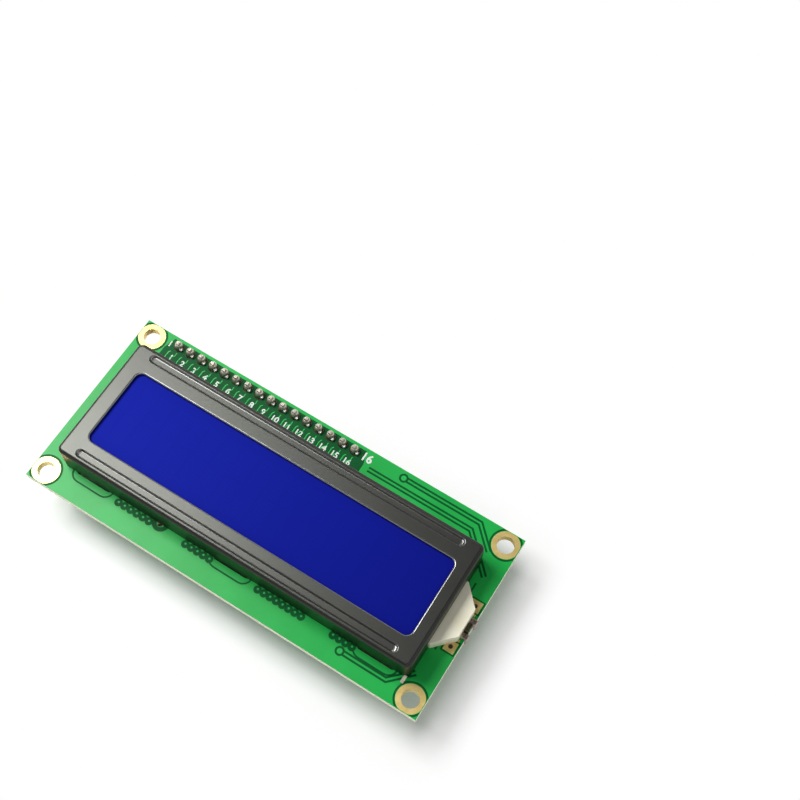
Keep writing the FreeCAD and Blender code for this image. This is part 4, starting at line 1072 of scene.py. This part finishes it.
def back_lines():
    """Gaps, tracks and copper areas on the back of the main board."""
    areas = Artwork(BOARD_BACK, -1, thickness=0.01)
    for outline in BACK_AREAS:
        areas.plate(outline)
    areas.finish("back_copper", "green_copper", "green_board")

    gaps = Artwork(BOARD_BACK, -1, thickness=0.014)
    gaps.lines(BACK_GAPS, 0.24)
    ring_holes(gaps, *HOLE_GAP, margin=0.1)
    for x in TAB_COLUMNS:
        for low_y, high_y in ((7.8, 12.2), (-13.7, -8.8)):
            gaps.frame(x - 3.8, x + 3.8, low_y, high_y, 0.3)
    for x, y in END_PADS:
        gaps.frame_round(x, y, END_PAD_HALF + 0.2, 0.24)
    for x, y in LAMP_PADS:
        gaps.ring(x, y, 0.98, 1.25)
    for y in DRIVER_PAD_ROWS:
        for left, right in ((31.0, 33.4), (25.3, 27.7)):
            gaps.frame(left, right, y - 0.5, y + 0.5, 0.2)
    gaps.finish("back_gaps", "green_gap", "green_board")

    tracks = Artwork(BOARD_BACK, -1, thickness=0.02)
    for points, count, pitch in BACK_BUNDLES:
        tracks.bundle(points, FINE_TRACK, count, pitch)
    for start, end, knee in BACK_FAN:
        tracks.line(((start, -12.3), (start, knee - 0.8), (end, knee + 0.4), (end, knee + 1.0)), FINE_TRACK)
    tracks.lines(WIDE_BACK_TRACKS, WIDE_TRACK)
    for x, y in BACK_VIAS:
        tracks.ring(x, y, 0.16, 0.38, 12)
    tracks.finish("back_tracks", "green_copper", "green_board")


def main_board_print():
    """White printed marks of the main board, and the pins' numbers."""
    width = 0.26
    back = Artwork(BOARD_BACK, -1, thickness=0.028)
    back.bracket(16.9, 23.1, 11.2, 14.1, width, 1.9)
    for x in (31.9, 29.5, 27.1):
        back.ring(x, 5.5, 1.16, 1.42, 28)
    back.frame(28.0, 30.7, -0.9, 4.1, width)
    for low_y, high_y in ((-4.4, -1.4), (-7.8, -4.9)):
        back.frame(26.6, 32.8, low_y, high_y, width)
        back.rectangle(26.5, 27.0, low_y, high_y)
    for y in (-3.0, -6.6):
        back.plus_sign(25.0, y, 0.65, 0.2)
    back.frame(-24.8, -19.7, -7.6, -2.6, width)
    back.line(((-24.8, -5.1), (-19.7, -5.1)), width)
    back.frame(-33.3, -28.3, -7.8, -1.3, width)
    back.lines((((-33.3, y), (-28.3, y)) for y in (-3.1, -5.4)), width)
    back.finish("back_print", "white_ink", "white_plastic")

    small, large, largest = 1.15, 1.6, 1.7
    low, high = node_box("header_pins")
    row_y = (low.y + high.y) / 2
    places = row_places("header_pins", PIN_WIDTH, BOARD_FRONT)
    words = [(str(number), place[0] - 0.12, row_y - 2.55, small) for number, place in enumerate(places, 1)]
    words += [(str(PINS), high.x + 2.3, row_y - 0.1, large), ("1", low.x - 1.5, row_y - 0.3, small)]
    printed_numbers("pin_numbers", words, BOARD_FRONT, 1)
    printed_numbers("pin_number_back", [("1", high.x + 3.4, row_y, largest)], BOARD_BACK, -1)


# ---------------------------------------------------------------- solder and pin rows


# Radius and height of a solder cone's outline, each as a share of the cone's own.
CONE_OUTLINE = (
    (0, 0), (1, 0), (1, 0.02), (0.93, 0.05), (0.87, 0.12), (0.82, 0.24), (0.78, 0.42), (0.74, 0.64), (0.67, 0.82),
    (0.52, 0.95), (0, 1),
)
BEAD_RADIUS, BEAD_FLATNESS = 0.33, 0.2
BEAD_PLACE = Vector((0.72, -0.5, 0.42))  # on a cone, in its own radius and height
BEAD_OUTWARD = Vector((0.554, -0.15, 0.819))


def header_solder():
    """Concave solder cones round the pins of the row, on both boards, and on each front one a flattened near-white
    bead, a painted glint.
    """
    for side, flip, coat, seed in (("front", 0, "header_solder", 3), ("back", 180, "fluxed_solder", 8)):
        node = "header_solder_" + side
        low, high = node_box(node)
        base, height = (high.y - low.y) / 2, high.z - low.z
        profile = [(radius * base, share * height) for radius, share in CONE_OUTLINE]
        places = row_places(node, high.y - low.y, high.z if flip else low.z, flip)
        parts = [(mesh_of("cone_" + side, turned(profile), 50), coat)]
        spread(node + "_row", parts, places, "solder", 0.05, 180, seed, stands_for=(node,))
        if side == "front":
            # A flattened bead facing between the glint lamp and the camera, coloured near-white: a painted glint.
            bead = bmesh.new()
            bmesh.ops.create_icosphere(bead, subdivisions=2, radius=BEAD_RADIUS)
            place = BEAD_PLACE * Vector((base, base, height))
            tilt = BEAD_OUTWARD.to_track_quat("Z", "Y")
            bead.transform(Matrix.LocRotScale(place, tilt, Vector((1, 1, BEAD_FLATNESS))))
            parts = [(mesh_of("bead_front", bead, 80), "painted_glint_solder")]
            spread("header_solder_beads", parts, places, "solder", 0.04, 8, seed)


def header_pins():
    """Square pins with tapered ends through both boards."""
    low, high = node_box("header_pins")
    length, half, end_half, taper = high.z - low.z, PIN_WIDTH / 2, 0.27, 0.12
    form = bmesh.new()
    loops = []
    for reach, height in ((end_half, 0), (half, taper), (half, length - taper), (end_half, length)):
        square = ((-reach, -reach), (reach, -reach), (reach, reach), (-reach, reach))
        loops.append(loop_at(form, square, height))
    skin(form, loops)
    for end in (loops[0], loops[-1]):
        form.faces.new(end)
    places = row_places("header_pins", PIN_WIDTH, low.z)
    parts = [(mesh_of("pin", form), "pin_end")]
    spread("header_pin_row", parts, places, "tinned_pin", 0, 2, seed=5, stands_for=("header_pins",))


def drop(name, node, finish, wobble, steps=72, rings=18):
    """A flattened drop that hangs on a back face, with an uneven edge that feathers out."""
    crown, flank = 2.3, 0.62
    low, high = node_box(node)
    middle = (low + high) / 2
    radius_x, radius_y, height = (high.x - low.x) / 2, (high.y - low.y) / 2, high.z - low.z
    form = bmesh.new()
    loops = [[form.verts.new((middle.x, middle.y, low.z))]]
    for ring in range(1, rings + 1):
        share = math.sin(ring / rings * math.pi / 2)
        lift = (1 - share**crown) ** flank
        loop = []
        for step in range(steps):
            angle = 2 * math.pi * step / steps
            sway = math.sin(3 * angle + 0.7) * 0.5 + math.sin(5 * angle + 2.1) * 0.3 + math.sin(2 * angle) * 0.4
            grow = 1 + wobble * share * sway - wobble * share
            x = middle.x + radius_x * share * grow * math.cos(angle)
            y = middle.y + radius_y * share * grow * math.sin(angle)
            loop.append(form.verts.new((x, y, high.z - height * lift)))
        loops.append(loop)
    skin(form, loops)
    form.faces.new(loops[-1])
    add_piece(name, mesh_of(name, form, 70), finish, finish, stands_for=(node,))


# ---------------------------------------------------------------- chip parts


CHIP_WIDTH, CHIP_CAP = 1.25, 0.4


def chip_solder(side, half_length, height, reach):
    """Solder that runs from one end of a chip part out over its pad and slumps at its own two ends."""
    face_height, half_width = 0.5, 0.72
    toe = ((reach, 0.0), (reach, 0.03), (0.55 * reach, 0.08), (0.28 * reach, 0.2))
    profile = ((-0.2, 0.0), *toe, (0.06, 0.36), (-0.2, 0.36))
    form = bmesh.new()
    rows = []
    for share, slump in ((-1.0, 0.25), (-0.92, 0.8), (-0.5, 1), (0, 1), (0.5, 1), (0.92, 0.8), (1.0, 0.25)):
        stretch = slump * height / face_height
        row = [(side * (half_length + x), share * half_width, 0.01 + z * stretch) for x, z in profile]
        rows.append([form.verts.new(point) for point in row])
    skin(form, rows)
    for end in (rows[0], rows[-1]):
        form.faces.new(end)
    return form


def chip_set(name, nodes, coat, slot, height, reach):
    """Chip parts of one kind, soldered on their boards where the model has them."""
    half_length, sides = 1.0, (-1, 1)
    middle = block((2 * (half_length - CHIP_CAP), CHIP_WIDTH, height - 0.08), (0, 0, height / 2), 0.03, 1)
    cap_size, cap_x = (CHIP_CAP, CHIP_WIDTH + 0.06, height), half_length - CHIP_CAP / 2
    ends = merged([block(cap_size, (side * cap_x, 0, height / 2), 0.07) for side in sides])
    fillets = merged([chip_solder(side, half_length, height, reach) for side in sides])
    parts = [
        (mesh_of("chip_middle", middle, 40), coat),
        (mesh_of("chip_ends", ends, 40), "tinned_pin"),
        (mesh_of("chip_solder", fillets, 60), "solder"),
    ]
    places = []
    for node in nodes:
        low, high = node_box(node)
        centre = (low + high) / 2
        upright = high.y - low.y > high.x - low.x
        places.append((centre.x, centre.y, high.z, 180, 90 if upright else 0))
    spread(name, parts, places, slot, 0.0, 1.5, seed=4, stands_for=nodes)


def all_chip_parts():
    on_board = [f"board_resistor_{number}" for number in range(1, 6)]
    on_adapter = [f"backpack_resistor_{number}" for number in range(1, 8)]
    chip_set("main_board_chips", on_board, "resistor_coat", "chip_resistor", 0.5, 0.95)
    chip_set("adapter_chips", on_adapter, "resistor_coat", "chip_resistor", 0.5, 0.85)
    chip_set("adapter_capacitor", ["bypass_capacitor"], "tan_ceramic", "tan_ceramic", 0.9, 0.75)
    chip_set("adapter_lamp", ["power_lamp"], "lamp_lens", "white_plastic", 1.05, 0.8)


# ---------------------------------------------------------------- adapter board


def adapter_print():
    """White printed frames of the adapter board."""
    width = 0.24
    cap = [(-5.1, 10.2), (-5.1, 9.1), (-4.7, 8.6), (-3.2, 8.6), (-2.8, 9.1), (-2.8, 10.2)]
    art = Artwork(ADAPTER_FACE, -1, thickness=0.03)
    art.frame(-33.5, 7.5, 15.35, 17.85, 0.3)
    art.line(((7.2, -0.78), (-33.2, -0.78)), 0.3)
    art.line(((7.68, -0.6), (7.68, 17.9)), 0.14)
    art.line(((7.2, 12.9), (5.0, 12.9), (5.0, 7.45), (7.2, 7.45)), 0.28)
    art.lines((((3.6, 12.6), (3.0, 12.6)), ((1.4, 12.6), (0.8, 12.6))), 0.26)
    art.lines((((3.8, 12.7), (3.8, 11.9)), ((0.9, 12.7), (0.9, 11.3))), width)
    art.bracket(-2.45, -0.1, 8.8, 13.1, width, 0.8, upright=True)
    art.line(cap, width)
    art.line([(x, 22.1 - y) for x, y in cap], width)
    art.line(((2.1, 6.4), (2.1, 7.6), (2.7, 8.3), (3.9, 8.3), (4.5, 7.6), (4.5, 6.4)), width)
    art.line(((2.1, 5.4), (2.1, 3.5), (4.5, 3.5), (4.5, 5.4)), width)
    art.plus_sign(4.3, 2.4, 0.55, 0.2)
    for left, right in ((-0.45, 1.95), (-3.0, -0.7), (-5.65, -3.35)):
        art.bracket(left, right, 3.8, 8.1, width, 0.8, upright=True)
    for left, right in ((-5.5, -1.2), (-10.1, -5.8), (-14.6, -10.3)):
        art.bracket(left, right, 0.15, 2.4, width, 0.6)
    art.line(((-9.35, 14.2), (-9.35, 3.7), (-17.3, 3.7)), width)
    art.line(((-20.9, 13.9), (-20.9, 6.0), (-28.6, 6.0), (-28.6, 13.9)), 0.28)
    for left in (-23.4, -25.9, -28.4):
        art.frame(left, left + 1.6, 0.7, 3.7, 0.22)
    art.line(((-31.0, 13.9), (-31.3, 14.2)), width)
    art.line(((-31.1, 4.2), (-31.1, 3.7), (-33.7, 3.7)), 0.26)
    art.ring(-16.3, 4.5, 0.3, 0.46, 16)
    art.finish("adapter_print", "white_ink", "white_plastic")


def adapter_plating():
    """Tinned pads of the adapter board, and the solder on the chip's leads."""
    leads, lead_width = 8, 0.42
    pad_start, pad_end, foot = 4.2, 6.4, 5.5
    low, high = node_box("expander_leads")
    middle_x = ((low + high) / 2).x
    rows = [low.y + lead_width / 2 + (high.y - low.y - lead_width) * index / (leads - 1) for index in range(leads)]
    art = Artwork(ADAPTER_FACE, -1, thickness=0.04)
    for y in rows:
        for side in (-1, 1):
            inner, outer = sorted((middle_x + side * pad_start, middle_x + side * pad_end))
            art.rectangle(inner, outer, y - 0.3, y + 0.3)
    for x in (-22.6, -25.1, -27.6):
        for y in (1.5, 2.9):
            art.pad(x, y, 0.4, 0.38)
    for x, y in ((3.4, 9.85), (1.4, 9.85), (2.4, 12.55)):
        art.pad(x, y, 0.42, 0.55)
    for x, y in ((4.6, 9.2), (-5.9, 11.1), (-2.75, 13.9)):
        art.ring(x, y, 0.14, 0.3, 12)
    pins_low, pins_high = node_box("jumper_header_pins")
    for y in (pins_low.y + PIN_WIDTH / 2, pins_high.y - PIN_WIDTH / 2):
        art.rectangle(5.6, 6.2, y - 0.4, y + 0.4)
    art.finish("adapter_plating", "solder", "solder")

    bead = block((1.5, 0.5, 0.16), (0, 0, 0.06), 0.06)
    places = [(middle_x + side * foot, y, ADAPTER_FACE, 180, 0) for y in rows for side in (-1, 1)]
    spread("lead_solder", [(mesh_of("bead", bead, 60), "solder")], places, "solder", 0.06, 2, seed=6)


def adapter_parts():
    dress("black_plastic", "header_strip")
    dress("tinned_pin", "trimmer_leads")
    softened("expander_chip", "chip_plastic", "chip_plastic", edge=0.05)
    softened("expander_leads", "tinned_pin", "tinned_pin", angle=40)
    softened("trimmer_housing", "blue_moulding", "blue_plastic", angle=30)
    softened("trimmer_rotor", "cream_rotor", "white_plastic", angle=40, body="trimmer_rotor")
    for part in ("bus_header", "jumper_header"):
        softened(part + "_block", "black_plastic", "black_plastic", edge=0.05)
        softened(part + "_pins", "pale_gold_pin", "gold_pin", edge=0.06)
    softened("jumper_cap", "cap_plastic", "black_plastic", edge=0.08, body="jumper_cap")
    softened("jumper_contact", "tinned_pin", "tinned_pin", edge=0.03, body="jumper_cap")
    softened("transistor_body", "chip_plastic", "chip_plastic", edge=0.04)
    softened("transistor_leads", "tinned_pin", "tinned_pin", angle=40)


# ---------------------------------------------------------------- room, light and camera


SOFT_LIGHT = 0.3  # how much of the white room's light matt surfaces get
CEILING = 0.06  # how bright the ceiling is in a mirror, the walls being 1
WHITE = (1, 1, 1, 1)


def floor_finish():
    """Pale matt paper that keeps the shadow near the object, fades to white, and shows only its top."""
    finish = Finish("pale_paper", {"Roughness": 0.9, "Specular IOR Level": 0.1})
    shadow_reach = 9.0
    finish.set(colour=finish.shade(finish.grain(40.0), (0.3, (250, 250, 249)), (0.7, (253, 253, 252))))
    x, y, _ = finish.place()
    board = node_box("main_board")[1]
    outside_x, outside_y = (finish.math("MAXIMUM", abs(p) - edge, 0.0) for p, edge in ((x, board.x), (y, board.y)))
    fade = finish.node("MapRange", inputs={0: finish.length(outside_x, outside_y), "From Max": shadow_reach})
    shown = finish.ray("Camera") + finish.ray("Glossy") + finish.ray("Transmission")
    glow = finish.node("Emission", inputs={"Color": WHITE, "Strength": 1.0})
    clear = finish.node("BsdfTransparent")
    under = finish.node("NewGeometry", output="Backfacing")
    surface = Field(finish, finish.shader.outputs[0])
    paper = finish.node("MixShader", inputs={0: fade * shown, 1: surface, 2: glow})
    end = finish.tree.nodes["Material Output"].inputs["Surface"]
    finish.feed(end, finish.node("MixShader", inputs={0: under, 1: paper, 2: clear}))
    return finish.material


def build_room():
    low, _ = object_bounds()
    reach = 6.0
    sheet = bpy.data.meshes.new("floor")
    corners = [(-reach, -reach, low.z), (reach, -reach, low.z), (reach, reach, low.z), (-reach, reach, low.z)]
    sheet.from_pydata(corners, [], [(0, 1, 2, 3)])
    sheet.materials.append(floor_finish())
    floor = show(sheet, "floor")

    world = bpy.data.worlds.new("studio")
    world.use_nodes = True
    bpy.context.scene.world = world
    room = Nodes(world.node_tree)
    direction = room.node("TexCoord", output="Generated")
    height = room.node("SeparateXYZ", inputs={0: direction}, output=2)
    limits = {"From Min": 0.3, "From Max": 0.85, "To Min": 1.0, "To Max": CEILING}
    walls_and_ceiling = room.node("MapRange", inputs={0: height} | limits)
    shown = room.ray("Camera") + room.ray("Transmission")
    mirrored = room.ray("Glossy")
    background = world.node_tree.nodes["Background"]
    background.inputs["Color"].default_value = WHITE
    light = shown + mirrored * walls_and_ceiling + (1 - shown - mirrored) * SOFT_LIGHT
    room.feed(background.inputs["Strength"], light)


def add_soft_light(name, place, size, power):
    """A square softbox, in metres and watts, that faces the object."""
    lamp = bpy.data.lights.new(name, "AREA")
    lamp.shape = "SQUARE"
    lamp.size = size
    lamp.energy = power
    carrier = show(lamp, name)
    carrier.location = place
    carrier.rotation_euler = Vector(place).to_track_quat("Z", "Y").to_euler()


def build_lights():
    add_soft_light("key", (-0.172, 0.008, 0.275), 0.164, 1.03)
    add_soft_light("fill", (0.3, -0.36, 0.36), 0.08, 0.24)
    add_soft_light("glint", (0.4, 0.0, 0.3), 0.03, 0.13)


def build_camera():
    lens = bpy.data.cameras.new("camera")
    lens.sensor_width = 36.0
    lens.lens = 59.27
    lens.clip_start = 0.01
    camera = show(lens, "camera")
    place = Vector((57.4, -55.8, 215.5)) * MM
    right, up, back = (0.8479, 0.53, 0.0129), (-0.4868, 0.7687, 0.4149), (0.21, -0.358, 0.9098)
    turn = Matrix((right, up, back)).transposed()
    camera.matrix_world = Matrix.LocRotScale(place, turn.to_quaternion(), None)
    bpy.context.scene.camera = camera


dress("green_board", "main_board")
dress("black_board", "backpack_board")
dress_display()
lamp_solder()
plated_parts()
corner_clip()
front_lines()
back_lines()
main_board_print()
header_solder()
header_pins()
drop("controller_drop", "controller_blob", "black_resin", wobble=0.02)
drop("driver_drop", "driver_blob", "black_resin", wobble=0.02)
drop("bridge_drop", "bridge_solder", "solder", wobble=0.05, steps=32, rings=8)
all_chip_parts()
adapter_print()
adapter_plating()
adapter_parts()
build_room()
build_lights()
build_camera()
bpy.context.scene.view_settings.view_transform = "Standard"
